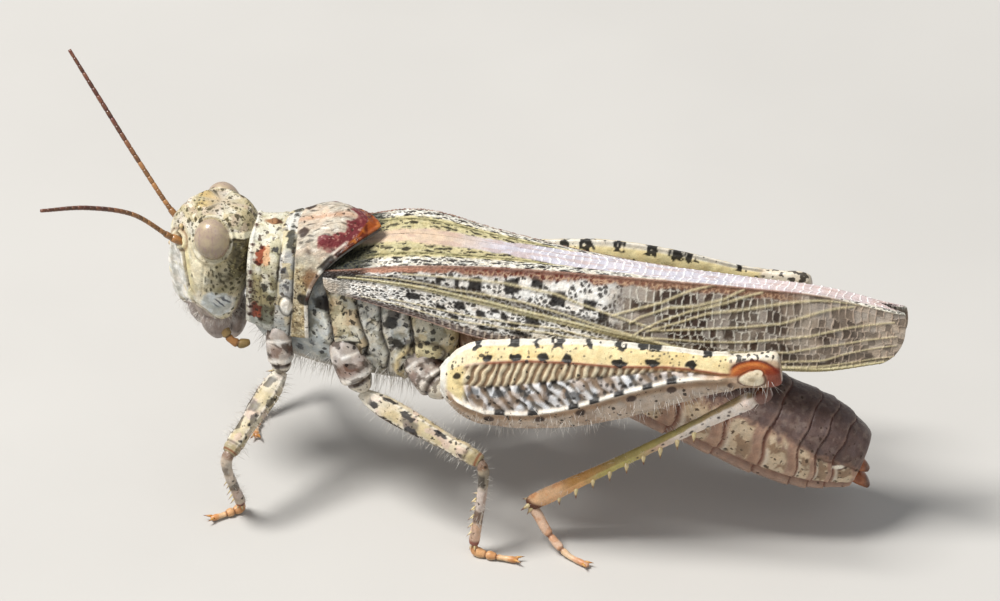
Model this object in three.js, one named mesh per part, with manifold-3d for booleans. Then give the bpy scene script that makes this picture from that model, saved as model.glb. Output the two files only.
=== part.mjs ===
// Seaside grasshopper, Trimerotropis maritima: an adult female, life size, standing still.
// Millimetres, +Z up. The head points to -X and the animal's left side is -Y.
// Everything is modelled with x = 0 between the middle and the hind legs and z = 0 on the
// ground; the last lines move the group so that its origin is the middle of its footprint.

import * as THREE from "three";
import { mergeVertices } from "three/addons/utils/BufferGeometryUtils.js";
import Module from "manifold-3d";

const wasm = await Module();
wasm.setup();

// ---- driving sizes --------------------------------------------------------------------

const GAP = 0.12; // clearance where one piece is fitted to its neighbour
const PLATE = 0.55; // thickness of the wings and of the pronotum plate

const HEAD_X = -14.4; // upright line through the head
const HEAD_LOW = 9.1;
const HEAD_TOP = 16.05;

const EYE = { x: -14.28, y: 1.62, z: 14.7, long: 0.9, out: 0.8, tall: 1.14, lean: -0.12 };

const PRONOTUM = {
  front: -12.35,
  rear: -5.97,
  side: -9.35, // rear edge of the side lobe
  crest: [14.95, 15.05, 15.3, 15.6, 15.2], // height of the keel, front to rear
  waist: 12.2, // where the arched back turns into the flat side lobe
  lobe: 9.3,
};

const TEGMEN_BASE = -8.3;
const TEGMEN_TIP = 20.1;
const TEGMEN_SPLIT = 0.06; // half of the slit between the two forewings

const SEGMENTS = 9; // visible rings of the abdomen
const LEFT = -1;
const RIGHT = 1;

// ---- colours --------------------------------------------------------------------------

const paint = (color, roughness = 0.55) =>
  new THREE.MeshStandardMaterial({ color, roughness, metalness: 0 });

const CREAM = paint(0xcfc6a4);
const SPECKLED = paint(0xb3a88a);
const PALE_GREY = paint(0xb9b5ab);
const WING = paint(0x9c907e, 0.5);
const EYE_SHELL = paint(0xa38d80, 0.25);
const AMBER = paint(0x8a4f28, 0.45);
const MOUTH = paint(0x8b7f76, 0.5);
const ABDOMEN_SKIN = paint(0x9d7f6c, 0.6);
const VALVE = paint(0x8c5a38, 0.45);
const SHANK = paint(0xb98a4c, 0.45);

// ---- shaping helpers ------------------------------------------------------------------

const point = (p) => new THREE.Vector3(...p);

// Value at t (0 to 1) of a smooth line through evenly spaced values.
function along(values, t) {
  if (values.length === 1) return values[0];
  const place = THREE.MathUtils.clamp(t, 0, 1) * (values.length - 1);
  const i = Math.min(Math.floor(place), values.length - 2);
  const f = place - i;
  const at = (k) => values[THREE.MathUtils.clamp(k, 0, values.length - 1)];
  const [a, b, c, d] = [at(i - 1), at(i), at(i + 1), at(i + 2)];
  const bend = 2 * a - 5 * b + 4 * c - d;
  const twist = 3 * b - a - 3 * c + d;
  return b + 0.5 * ((c - a) * f + bend * f * f + twist * f ** 3);
}

// One closed manifold-3d solid of a three.js geometry, with its faces turned outward.
function solid(geometry) {
  const bare = geometry.clone();
  bare.deleteAttribute("normal");
  bare.deleteAttribute("uv");
  const merged = mergeVertices(bare, 1e-4);
  const vertProperties = merged.attributes.position.array;
  const triVerts = new Uint32Array(merged.index.array);
  const make = () => new wasm.Manifold(new wasm.Mesh({ numProp: 3, vertProperties, triVerts }));
  const made = make();
  if (made.volume() > 0) return made;
  for (let i = 0; i < triVerts.length; i += 3) {
    [triVerts[i + 1], triVerts[i + 2]] = [triVerts[i + 2], triVerts[i + 1]];
  }
  return make();
}

// Back from manifold-3d to a named mesh.
function piece(name, shape, material) {
  const data = shape.getMesh();
  const geometry = new THREE.BufferGeometry();
  geometry.setAttribute("position", new THREE.BufferAttribute(data.vertProperties, 3));
  geometry.setIndex(new THREE.BufferAttribute(data.triVerts, 1));
  geometry.computeVertexNormals();
  const mesh = new THREE.Mesh(geometry, material);
  mesh.name = name;
  return mesh;
}

// Largest of the bodies that a cut leaves.
function main(shape) {
  return shape.decompose().reduce((a, b) => (a.volume() > b.volume() ? a : b));
}

// A shape with room cut into it for each of its neighbours.
function fitted(shape, neighbours) {
  return main(neighbours.reduce((left, other) => left.subtract(other), shape)).simplify(0.008);
}

// How much of its full section a body has at t, when its ends are rounded off.
function blunt(t, ends, sharpness) {
  const s = 2 * t - 1;
  const end = s < 0 ? ends[0] : ends[1];
  return end + (1 - end) * (1 - Math.abs(s) ** sharpness) ** (1 / sharpness);
}

// Signed power, for sections between a circle and a box.
const rounded = (value, power) => Math.sign(value) * Math.abs(value) ** power;

// A body of oval sections along a spine, or along a span of a shared curve. wide is the
// half width along side; up and down are the half heights on the two other ways. grow
// makes the same body a little larger.
function loft({
  spine,
  curve = new THREE.CatmullRomCurve3(spine.map(point), false, "centripetal"),
  span = [0, 1],
  side = [0, 1, 0],
  wide,
  up,
  down = up,
  ring = 12,
  rows = 6,
  ends = [0.5, 0.5],
  sharpness = 6,
  box = 2,
  grow = 0,
}) {
  const geometry = new THREE.CylinderGeometry(1, 1, 1, ring, rows, false);
  const position = geometry.attributes.position;
  const lateral = point(side);
  for (let i = 0; i < position.count; i++) {
    const [x, y, z] = [position.getX(i), position.getY(i), position.getZ(i)];
    const t = 0.5 - 0.5 * Math.cos(Math.PI * (y + 0.5));
    const station = THREE.MathUtils.lerp(span[0], span[1], t);
    const tangent = curve.getTangentAt(station);
    const across = lateral.clone().addScaledVector(tangent, -lateral.dot(tangent)).normalize();
    const above = tangent.clone().cross(across);
    const reach = Math.hypot(x, z);
    const [c, s] = reach > 0.01 ? [x / reach, z / reach] : [0, 0];
    const full = blunt(t, ends, sharpness);
    const height = s > 0 ? along(up, t) : along(down, t);
    const place = curve.getPointAt(station);
    place.addScaledVector(tangent, grow * (2 * t - 1));
    place.addScaledVector(across, rounded(c, 2 / box) * (along(wide, t) * full + grow));
    place.addScaledVector(above, rounded(s, 2 / box) * (height * full + grow));
    position.setXYZ(i, place.x, place.y, place.z);
  }
  return solid(geometry);
}

// A plate between a surface that is given as outer(u, v) and one below it.
function plate(outer, inner, across, around) {
  const geometry = new THREE.BoxGeometry(1, 1, 1, across, around, 1);
  const position = geometry.attributes.position;
  for (let i = 0; i < position.count; i++) {
    const u = position.getX(i) + 0.5;
    const v = position.getY(i) + 0.5;
    const place = position.getZ(i) < 0 ? inner(u, v) : outer(u, v);
    position.setXYZ(i, place.x, place.y, place.z);
  }
  return solid(geometry);
}

// The surface that lies at an even depth under another, on the side that inward points to.
function under(outer, inward, depth) {
  const step = 0.01;
  return (u, v) => {
    const du = outer(u + step, v).sub(outer(u - step, v));
    const dv = outer(u, v + step).sub(outer(u, v - step));
    const normal = du.cross(dv).normalize();
    if (normal.dot(inward(u, v)) < 0) normal.negate();
    return outer(u, v).addScaledVector(normal, depth);
  };
}

// A ball stretched along the three axes and turned about Y.
function ovoid(centre, radii, lean, ring, grow = 0) {
  const geometry = new THREE.SphereGeometry(1, ring, Math.round(ring * 0.65));
  geometry.scale(radii[0] + grow, radii[1] + grow, radii[2] + grow);
  geometry.rotateY(lean);
  geometry.translate(...centre);
  return solid(geometry);
}

// Everything below the ground, for cutting the soles flat.
function ground() {
  const geometry = new THREE.BoxGeometry(80, 40, 4);
  geometry.translate(0, 0, -2);
  return solid(geometry);
}

const sideName = (sign) => (sign === LEFT ? "left" : "right");

// Points given for the left side, mirrored when the right side is made.
const onSide = (sign, points) => points.map(([x, y, z]) => [x, -sign * y, z]);

// ---- head -----------------------------------------------------------------------------

const headShape = (grow) =>
  loft({
    spine: [
      [HEAD_X, 0, HEAD_LOW],
      [HEAD_X, 0, HEAD_TOP],
    ],
    wide: [1.5, 1.85, 2.05, 2.15, 2.15, 2.05, 1.8, 1.35],
    up: [1.65, 2.05, 2.25, 2.36, 2.34, 2.2, 1.85, 1.2],
    down: [1.2, 1.5, 1.68, 1.78, 1.85, 1.9, 1.8, 1.2],
    ring: 18,
    rows: 11,
    ends: [0.72, 0.25],
    sharpness: 7,
    box: 2.3,
    grow,
  });

const eyeShape = (sign, grow = 0) =>
  ovoid([EYE.x, sign * EYE.y, EYE.z], [EYE.long, EYE.out, EYE.tall], EYE.lean, 15, grow);

const head = fitted(headShape(0), [eyeShape(LEFT, GAP), eyeShape(RIGHT, GAP)]);
const headRoom = headShape(GAP);

function labrum() {
  return loft({
    spine: [
      [-15.75, 0, 9.75],
      [-15.55, 0, 8.6],
      [-14.95, 0, 7.5],
    ],
    wide: [1.25, 1.3, 1.25, 0.95],
    up: [0.34, 0.38, 0.34, 0.28],
    ends: [0.8, 0.6],
    ring: 12,
    rows: 5,
    box: 2.6,
  });
}

function mandible(sign) {
  return loft({
    spine: onSide(sign, [
      [-14.35, -1.05, 9.6],
      [-14.5, -0.95, 8.6],
      [-14.6, -0.75, 7.9],
    ]),
    wide: [0.75, 0.75, 0.5],
    up: [0.85, 0.75, 0.45],
    ends: [0.8, 0.6],
    ring: 10,
    rows: 4,
  });
}

function labium() {
  return loft({
    spine: [
      [-13.35, 0, 9.6],
      [-13.3, 0, 8.5],
      [-13.6, 0, 7.45],
    ],
    wide: [1.15, 1.15, 0.8],
    up: [0.42, 0.45, 0.32],
    ends: [0.7, 0.6],
    ring: 10,
    rows: 4,
  });
}

function palp(sign) {
  return loft({
    spine: onSide(sign, [
      [-13.5, -1.62, 8.75],
      [-13.2, -1.75, 8.0],
      [-12.75, -1.65, 7.5],
    ]),
    wide: [0.3, 0.28, 0.3],
    up: [0.3, 0.28, 0.3],
    ends: [0.7, 0.6],
    ring: 8,
    rows: 4,
  });
}

// Left feeler bows low and outward, right feeler is raised nearly straight.
const FEELERS = {
  [LEFT]: [
    [-16.55, -0.85, 14.05],
    [-18.2, -1.8, 15.9],
    [-20.2, -3.5, 17.3],
    [-22.45, -5.8, 18.5],
  ],
  [RIGHT]: [
    [-16.55, 0.85, 14.05],
    [-18.7, 2.4, 16.15],
    [-20.8, 3.95, 18.4],
    [-22.7, 5.3, 20.55],
  ],
};

function antenna(sign) {
  return loft({
    spine: FEELERS[sign],
    side: [0, 0, 1],
    wide: [0.32, 0.27, 0.26, 0.26, 0.25],
    up: [0.32, 0.27, 0.26, 0.26, 0.25],
    ends: [0.8, 0.6],
    sharpness: 12,
    ring: 7,
    rows: 10,
  });
}

// ---- thorax ---------------------------------------------------------------------------

// Saddle-shaped plate: u runs from its front rim to its rear rim, v from the left lobe
// over the back to the right lobe.
function saddle(u, v) {
  const { front, rear, side, crest, waist, lobe } = PRONOTUM;
  const s = Math.abs(2 * v - 1);
  const sign = Math.sign(2 * v - 1);
  const arch = 0.62; // share of the half section that belongs to the arched back
  const apex = Math.max(0, 1 - s / 0.66) ** 1.25;
  const back = side + (rear - side) * apex;
  const x = front - 0.2 * s + u * (back - front + 0.2 * s);
  const broad = along([1.85, 2.0, 2.2, 2.55, 2.8, 2.85], (x - front) / (rear - front));
  const low = lobe + 0.7 * (1 - u) ** 2 + 0.3 * u ** 4;
  const top = along(crest, u);
  if (s < arch) {
    const angle = (s / arch) * (Math.PI / 2);
    const y = sign * broad * rounded(Math.sin(angle), 0.8);
    const ridge = 0.14 * Math.exp(-((s / 0.08) ** 2));
    const z = waist + (top - ridge - waist) * rounded(Math.cos(angle), 0.7) + ridge;
    return new THREE.Vector3(x, y, z);
  }
  const drop = (s - arch) / (1 - arch);
  return new THREE.Vector3(x, sign * broad * (1 - 0.06 * drop ** 2), waist - (waist - low) * drop);
}

function pronotum() {
  const middle = new THREE.Vector3(0, 0, 0);
  const inward = (u, v) => {
    const place = saddle(u, v);
    middle.set(place.x, 0, Math.min(place.z - 1, 11.5));
    return middle.clone().sub(place);
  };
  return plate(saddle, under(saddle, inward, PLATE), 9, 20);
}

function prothorax(grow = 0) {
  return loft({
    spine: [
      [-12.2, 0, 11.5],
      [-9.42, 0, 11.3],
    ],
    wide: [1.05, 1.25, 1.45, 1.55],
    up: [2.1, 2.3, 2.5, 2.6],
    down: [2.9, 3.5, 3.8, 3.9],
    ends: [0.75, 0.9],
    ring: 14,
    rows: 5,
    box: 2.2,
    grow,
  });
}

function mesothorax(grow = 0) {
  return loft({
    spine: [
      [-9.2, 0, 10.35],
      [-5.45, 0, 10.4],
    ],
    wide: [2.35, 2.6, 2.7],
    up: [2.4, 2.8, 3.0],
    down: [3.2, 3.5, 3.6],
    ends: [0.8, 0.94],
    ring: 18,
    rows: 5,
    box: 2.3,
    grow,
  });
}

function metathorax(grow = 0) {
  return loft({
    spine: [
      [-5.25, 0, 10.4],
      [-1.75, 0, 10.3],
    ],
    wide: [2.7, 2.75, 2.65],
    up: [3.0, 2.9, 2.6],
    down: [3.6, 3.55, 3.3],
    ends: [0.94, 0.86],
    ring: 18,
    rows: 5,
    box: 2.3,
    grow,
  });
}

// ---- wings ----------------------------------------------------------------------------

// Folded forewing: v = 0 is the edge on the back, v = 1 the lower edge on the flank.
function tegmenSurface(sign) {
  const foldY = [1.9, 2.35, 1.85, 1.4, 1.08, 0.86, 0.72, 0.64];
  const foldZ = [13.55, 14.6, 14.65, 14.5, 14.3, 14.05, 13.7, 13.0];
  const edgeY = [2.75, 3.15, 3.2, 3.0, 2.6, 2.05, 1.45, 0.85];
  const edgeZ = [13.0, 12.35, 11.25, 10.95, 10.6, 10.15, 9.95, 11.2];
  return (u, v) => {
    const tip = 1.0 * Math.abs(2 * v - 0.95) ** 3 * Math.max(0, u) ** 3;
    const x = TEGMEN_BASE + (TEGMEN_TIP - TEGMEN_BASE) * u - tip;
    const [fy, fz, ey, ez] = [foldY, foldZ, edgeY, edgeZ].map((keys) => along(keys, u));
    const ys = [TEGMEN_SPLIT, 0.55 * fy, fy, fy + 0.45 * (ey - fy), fy + 0.8 * (ey - fy), ey];
    const zs = [fz + 0.02, fz + 0.02, fz - 0.1, fz + 0.4 * (ez - fz), fz + 0.72 * (ez - fz), ez];
    return new THREE.Vector3(x, sign * along(ys, v), along(zs, v));
  };
}

// The wing is thick downward on the back and at its root, sideways on the flank, and both
// ways at its fold.
function tegmen(sign) {
  const outer = tegmenSurface(sign);
  const sideways = [0, 0.45, 0.95, 1, 1, 1];
  const downward = [1, 1, 0.9, 0.5, 0.25, 0.1];
  const inner = (u, v) => {
    const steep = Math.min(1, u / 0.12);
    const across = -sign * steep * along(sideways, v);
    const down = 1 - steep * (1 - along(downward, v));
    return outer(u, v).addScaledVector(new THREE.Vector3(0, across, -down), PLATE);
  };
  const half = new THREE.BoxGeometry(60, 20, 40);
  half.translate(0, -sign * (10 - TEGMEN_SPLIT), 12);
  return main(plate(outer, inner, 16, 8).subtract(solid(half)));
}

// ---- abdomen --------------------------------------------------------------------------

const ABDOMEN_AXIS = new THREE.CatmullRomCurve3(
  [
    [-1.55, 0, 9.9],
    [2.2, 0, 9.55],
    [6.0, 0, 8.65],
    [10.0, 0, 6.95],
    [13.8, 0, 5.25],
    [16.6, 0, 4.3],
    [18.2, 0, 3.75],
  ].map(point),
  false,
  "centripetal",
);

const ABDOMEN_WIDE = [2.5, 2.7, 2.7, 2.66, 2.62, 2.6, 2.55, 2.45, 2.2, 1.7];
const ABDOMEN_TALL = [2.55, 2.7, 2.7, 2.7, 2.65, 2.62, 2.6, 2.55, 2.3, 1.75];
const RING_SHARE = [1.15, 1.15, 1.15, 1.12, 1.08, 1.0, 0.9, 0.78, 0.6]; // lengths of the rings

function abdomenRing(index) {
  const total = RING_SHARE.reduce((a, b) => a + b, 0);
  const before = RING_SHARE.slice(0, index).reduce((a, b) => a + b, 0);
  const margin = 0.055 / ABDOMEN_AXIS.getLength();
  const start = before / total + margin;
  const end = (before + RING_SHARE[index]) / total - margin;
  const stations = [0, 0.5, 1].map((f) => start + (end - start) * f);
  return loft({
    curve: ABDOMEN_AXIS,
    span: [start, end],
    wide: stations.map((t) => along(ABDOMEN_WIDE, t)),
    up: stations.map((t) => along(ABDOMEN_TALL, t)),
    ends: [0.93, index === SEGMENTS - 1 ? 0.7 : 0.95],
    ring: 16,
    rows: 3,
    sharpness: 5,
  });
}

// Upper pair of egg-laying valves points up a little at the tip, lower pair down.
function valve(lift) {
  return loft({
    spine: [
      [18.35, 0, 3.6 + 0.5 * lift],
      [18.7, 0, 3.42 + 0.5 * lift],
      [19.05, 0, 3.22 + 0.58 * lift],
    ],
    wide: [0.75, 0.65, 0.35],
    up: [0.4, 0.36, 0.26],
    ends: [0.8, 0.6],
    ring: 10,
    rows: 4,
  });
}

// ---- legs -----------------------------------------------------------------------------

const limb = (spine, wide, up, extra = {}) =>
  loft({ spine, wide, up, ring: 10, rows: 6, ends: [0.55, 0.6], sharpness: 8, ...extra });

// Half thickness (thin) and half depth of the thighs, from hip to knee. The hind thigh is
// deeper below its middle line (belly) than above it (deep), and leans in over the wings.
const HIND_LEAN = THREE.MathUtils.degToRad(15);
const HIND_THIN = [0.5, 0.85, 1.0, 1.0, 0.95, 0.86, 0.76, 0.64, 0.52, 0.5, 0.55];
const HIND_DEEP = [0.9, 1.8, 2.2, 2.25, 2.2, 2.0, 1.7, 1.35, 0.98, 0.92, 1.12];
const HIND_BELLY = [1.0, 1.95, 2.4, 2.45, 2.35, 2.1, 1.75, 1.38, 1.0, 0.92, 1.12];
const FORE_THIN = [0.32, 0.42, 0.42, 0.36, 0.34];
const FORE_DEEP = [0.4, 0.58, 0.55, 0.42, 0.42];

// Each leg from the hip to the tip of its foot, with the half width of its coxa.
const LEGS = {
  fore_left: {
    coxa: [[-10.95, -1.75, 9.0], [-10.8, -2.05, 8.1], [-10.75, -2.05, 7.45]],
    coxaR: [0.72, 0.7, 0.5],
    thigh: [[-10.85, -2.2, 7.1], [-12.86, -5.7, 4.55]],
    shin: [[-12.95, -5.85, 4.2], [-12.5, -4.5, 0.62]],
    foot: [[-12.55, -4.5, 0.3], [-13.1, -4.95, 0.22], [-13.85, -5.5, 0.2]],
  },
  fore_right: {
    coxa: [[-10.95, 1.75, 9.0], [-10.8, 2.0, 8.1], [-10.75, 2.05, 7.45]],
    coxaR: [0.72, 0.7, 0.5],
    thigh: [[-10.75, 2.3, 7.1], [-11.5, 5.45, 4.1]],
    shin: [[-11.6, 5.5, 3.75], [-12.95, 3.6, 0.62]],
    foot: [[-13.0, 3.3, 0.3], [-12.95, 2.5, 0.22], [-12.8, 1.65, 0.2]],
  },
  mid_left: {
    coxa: [[-7.4, -2.2, 8.9], [-6.9, -2.6, 8.0], [-6.5, -2.65, 7.2]],
    coxaR: [0.95, 0.95, 0.6],
    thigh: [[-6.3, -2.85, 6.8], [-3.2, -4.35, 6.25], [-0.05, -5.65, 5.5]],
    shin: [[0.05, -5.75, 5.15], [-0.37, -6.05, 0.62]],
    foot: [[-0.25, -6.15, 0.3], [0.8, -6.4, 0.22], [1.95, -6.5, 0.2]],
  },
  mid_right: {
    coxa: [[-7.4, 2.2, 8.9], [-6.9, 2.6, 8.0], [-6.5, 2.65, 7.2]],
    coxaR: [0.95, 0.95, 0.6],
    thigh: [[-6.25, 2.85, 6.85], [-3.2, 4.35, 6.35], [0.05, 5.7, 5.55]],
    shin: [[0.2, 5.8, 5.2], [-0.12, 6.2, 0.62]],
    foot: [[0.0, 6.3, 0.3], [1.0, 6.5, 0.22], [2.1, 6.7, 0.2]],
  },
  hind_left: {
    coxa: [[-3.7, -2.0, 8.9], [-2.9, -2.8, 8.2], [-2.1, -3.2, 7.9]],
    coxaR: [1.15, 1.05, 0.7],
    thigh: [[-2.35, -4.1, 9.25], [2.0, -4.18, 9.5], [6.0, -4.25, 10.2], [10.5, -4.22, 11.15],
      [14.75, -4.1, 11.85]],
    shin: [[14.25, -4.15, 10.45], [13.3, -4.2, 9.85], [8.0, -4.3, 6.2], [2.15, -4.4, 2.2]],
    foot: [[2.55, -4.55, 1.85], [3.25, -5.05, 1.0], [4.3, -5.7, 0.26], [5.5, -6.4, 0.19]],
  },
  hind_right: {
    coxa: [[-3.7, 2.0, 8.9], [-2.9, 2.8, 8.2], [-2.1, 3.2, 7.9]],
    coxaR: [1.15, 1.05, 0.7],
    thigh: [[-2.1, 4.15, 9.35], [2.3, 4.25, 9.75], [6.4, 4.3, 10.2], [10.9, 4.2, 10.65],
      [15.2, 4.05, 10.9]],
    shin: [[14.75, 4.1, 9.6], [13.8, 4.2, 9.05], [8.6, 4.7, 5.8], [3.1, 5.2, 2.4]],
    foot: [[3.3, 5.4, 2.05], [3.95, 6.05, 1.1], [4.7, 6.75, 0.26], [5.6, 7.6, 0.19]],
  },
};

function thighOf(name, grow) {
  const sign = name.endsWith("left") ? LEFT : RIGHT;
  const { thigh } = LEGS[name];
  if (!name.startsWith("hind")) {
    return limb(thigh, FORE_THIN, FORE_DEEP, { side: [0.3, 0.8, 0.5 * sign], grow });
  }
  const lean = [0, Math.cos(HIND_LEAN), sign * Math.sin(HIND_LEAN)];
  const shape = { down: HIND_BELLY, side: lean, ring: 14, rows: 12, grow };
  return limb(thigh, HIND_THIN, HIND_DEEP, shape);
}

function leg(name, trunk) {
  const hind = name.startsWith("hind");
  const { coxa, coxaR, shin, foot } = LEGS[name];
  const shinKeys = hind ? [0.36, 0.32, 0.29, 0.29, 0.33] : [0.29, 0.27, 0.27, 0.29];
  const footKeys = hind ? [0.3, 0.27, 0.26, 0.27] : [0.28, 0.26, 0.26];
  const shinShape = (grow) => limb(shin, shinKeys, shinKeys, { ring: 9, grow });
  const footShape = limb(foot, footKeys, footKeys, { ring: 9, rows: 5, ends: [0.7, 0.75] });
  const coxaShape = limb(coxa, coxaR, coxaR, { rows: 4, ends: [0.8, 0.8] });
  const thighRoom = thighOf(name, GAP);
  const shapes = {
    coxa: fitted(coxaShape, [...trunk, thighRoom]),
    femur: fitted(thighOf(name, 0), trunk),
    tibia: fitted(shinShape(0), [thighRoom]),
    tarsus: fitted(footShape, [shinShape(GAP), ground()]),
  };
  return Object.entries(shapes).map(([part, shape]) => {
    const ochre = part === "tarsus" || (part === "tibia" && hind);
    return piece(`${name}_${part}`, shape, ochre ? SHANK : CREAM);
  });
}

// ---- the whole animal -----------------------------------------------------------------

const group = new THREE.Group();
group.name = "grasshopper";

group.add(piece("head", head, SPECKLED));
group.add(piece("labrum", fitted(labrum(), [headRoom]), MOUTH));
group.add(piece("labium", fitted(labium(), [headRoom]), MOUTH));

for (const sign of [LEFT, RIGHT]) {
  group.add(piece(`eye_${sideName(sign)}`, eyeShape(sign), EYE_SHELL));
  group.add(piece(`mandible_${sideName(sign)}`, fitted(mandible(sign), [headRoom]), PALE_GREY));
  group.add(piece(`palp_${sideName(sign)}`, fitted(palp(sign), [headRoom]), MOUTH));
  group.add(piece(`antenna_${sideName(sign)}`, fitted(antenna(sign), [headRoom]), AMBER));
  group.add(piece(`tegmen_${sideName(sign)}`, tegmen(sign), WING));
}

group.add(piece("pronotum", pronotum(), CREAM));
group.add(piece("prothorax", prothorax(), SPECKLED));
group.add(piece("mesothorax", mesothorax(), SPECKLED));
group.add(piece("metathorax", metathorax(), SPECKLED));

for (let index = 0; index < SEGMENTS; index++) {
  group.add(piece(`abdomen_${index + 1}`, abdomenRing(index), ABDOMEN_SKIN));
}
group.add(piece("valve_upper", valve(1), VALVE));
group.add(piece("valve_lower", valve(-1), VALVE));

const TRUNK = [prothorax(GAP), mesothorax(GAP), metathorax(GAP)];
for (const name of Object.keys(LEGS)) group.add(...leg(name, TRUNK));

// Origin at the middle of the footprint of the whole animal.
const bounds = new THREE.Box3().setFromObject(group, true);
const centre = bounds.getCenter(new THREE.Vector3());
group.position.set(-centre.x, -centre.y, -bounds.min.z);

export default group;
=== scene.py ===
import math
from itertools import product

import bpy
import numpy as np
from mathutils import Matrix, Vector


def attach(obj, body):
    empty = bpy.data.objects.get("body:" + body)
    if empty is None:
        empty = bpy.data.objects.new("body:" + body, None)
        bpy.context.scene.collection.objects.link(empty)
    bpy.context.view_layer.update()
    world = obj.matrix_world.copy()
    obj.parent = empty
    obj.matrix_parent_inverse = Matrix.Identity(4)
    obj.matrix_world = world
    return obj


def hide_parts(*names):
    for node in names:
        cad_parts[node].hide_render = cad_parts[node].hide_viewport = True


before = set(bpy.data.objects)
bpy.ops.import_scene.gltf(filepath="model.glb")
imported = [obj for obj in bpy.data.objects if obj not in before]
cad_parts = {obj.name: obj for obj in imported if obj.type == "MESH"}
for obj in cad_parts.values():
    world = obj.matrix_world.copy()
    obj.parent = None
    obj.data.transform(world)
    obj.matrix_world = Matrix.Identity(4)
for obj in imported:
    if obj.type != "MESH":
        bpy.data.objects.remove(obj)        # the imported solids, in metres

# Seaside grasshopper, an adult female, life size, standing still.
# Shapes are drawn in millimetres on the body's own axes: the head points to -X, the left
# side is -Y, z = 0 is the ground. BODY_ZERO is where that zero lies in the frame.

MM = 0.001
BODY_ZERO = np.array([1.357, -0.504, 0.0])
LEFT = -1
RIGHT = 1
SIDES = {LEFT: "left", RIGHT: "right"}

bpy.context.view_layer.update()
rng = np.random.default_rng(7)


def tone(code):
    """A colour written as six hex digits, as linear light."""
    shade = np.array([int(code[i : i + 2], 16) for i in (0, 2, 4)]) / 255
    return np.where(shade <= 0.04045, shade / 12.92, ((shade + 0.055) / 1.055) ** 2.4)


IVORY = tone("d9d2ba")
CHALK = tone("e4e2da")
DARK_OLIVE = tone("453f2c")
UMBER = tone("3a2a1e")
INK = tone("14100f")


# ---- numbers and fields ---------------------------------------------------------------


def along(keys, t):
    """Value at t (0 to 1) of a smooth line through evenly spaced keys."""
    keys = np.asarray(keys, float)
    place = np.clip(np.asarray(t, float), 0, 1) * (len(keys) - 1)
    i = np.minimum(place.astype(int), len(keys) - 2)
    f = place - i

    def key(k):
        return keys[np.clip(k, 0, len(keys) - 1)]

    a, b, c, d = key(i - 1), key(i), key(i + 1), key(i + 2)
    bend = 2 * a - 5 * b + 4 * c - d
    twist = 3 * b - a - 3 * c + d
    return b + 0.5 * ((c - a) * f + bend * f**2 + twist * f**3)


def through(points, x):
    """Value at x of the broken line through (x, value) points."""
    xs, values = zip(*points)
    return np.interp(x, xs, values)


def rise(x, low, high):
    """0 below low, 1 above high, smooth between."""
    f = np.clip((np.asarray(x, float) - low) / (high - low), 0, 1)
    return f * f * (3 - 2 * f)


def fall(x, low, high):
    """1 below low, 0 above high, smooth between."""
    return 1 - rise(x, low, high)


def between(x, low, high, soft):
    """1 from low to high, with soft edges."""
    return rise(x, low - soft / 2, low + soft / 2) * fall(x, high - soft / 2, high + soft / 2)


def hump(x, width):
    """1 at x = 0, falling away over width."""
    return np.exp(-((np.asarray(x, float) / width) ** 2))


def oval(a, middle_a, half_a, b, middle_b, half_b):
    """Distance from the middle of an oval, measured so that its edge is at 1."""
    return np.hypot((a - middle_a) / half_a, (b - middle_b) / half_b)


def around_line(angle, turn, width):
    """1 on the line that runs lengthwise at this turn of a section, falling over width."""
    return hump(np.angle(np.exp(1j * (angle - turn))), width)


def scatter(cell, seed):
    """A steady random number from 0 to 1 for each whole-numbered cell."""
    n = seed * 974634777
    for axis, factor in zip(range(cell.shape[-1]), (374761393, 668265263, 1274126177)):
        n = n + cell[..., axis] * factor
    n = n & 0xFFFFFFFF
    n = ((n ^ (n >> 13)) * 1274126177) & 0xFFFFFFFF
    return (n ^ (n >> 16)) / 2**32


def noise(place, size, seed):
    """Smooth noise from 0 to 1 with lumps of the given size."""
    q = place / size
    base = np.floor(q).astype(np.int64)
    f = q - base
    f = f * f * (3 - 2 * f)
    total = 0
    for corner in product((0, 1), repeat=place.shape[-1]):
        corner = np.array(corner)
        weight = np.prod(np.where(corner, f, 1 - f), axis=-1)
        total = total + weight * scatter(base + corner, seed)
    return total


def rough(place, size, seed):
    """Three sizes of noise together."""
    parts = [noise(place, size / 2**k, seed + k) / 2**k for k in range(3)]
    return sum(parts) / 1.75


def cells(place, seed):
    """Distances to the nearest and the next of points scattered one to a cell, and the
    random number of the nearest."""
    base = np.floor(place).astype(np.int64)
    dims = place.shape[-1]
    near = np.full(place.shape[:-1], 9.0)
    after = np.full(place.shape[:-1], 9.0)
    mark = np.zeros(place.shape[:-1])
    for step in product((-1, 0, 1), repeat=dims):
        cell = base + np.array(step)
        centre = cell + np.stack([scatter(cell, seed + k) for k in range(dims)], -1)
        gap = np.linalg.norm(place - centre, axis=-1)
        closer = gap < near
        after = np.where(closer, near, np.minimum(after, gap))
        mark = np.where(closer, scatter(cell, seed + 11), mark)
        near = np.minimum(near, gap)
    return near, after, mark


def wobble(place, amount, size, seed):
    """The place moved about a little, so that edges drawn on it are irregular."""
    for share in (1, 0.3):
        moves = [noise(place, size * share, seed + 5 * k) - 0.5 for k in range(place.shape[-1])]
        place = place + 2 * amount * share**0.7 * np.stack(moves, -1)
    return place


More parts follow.
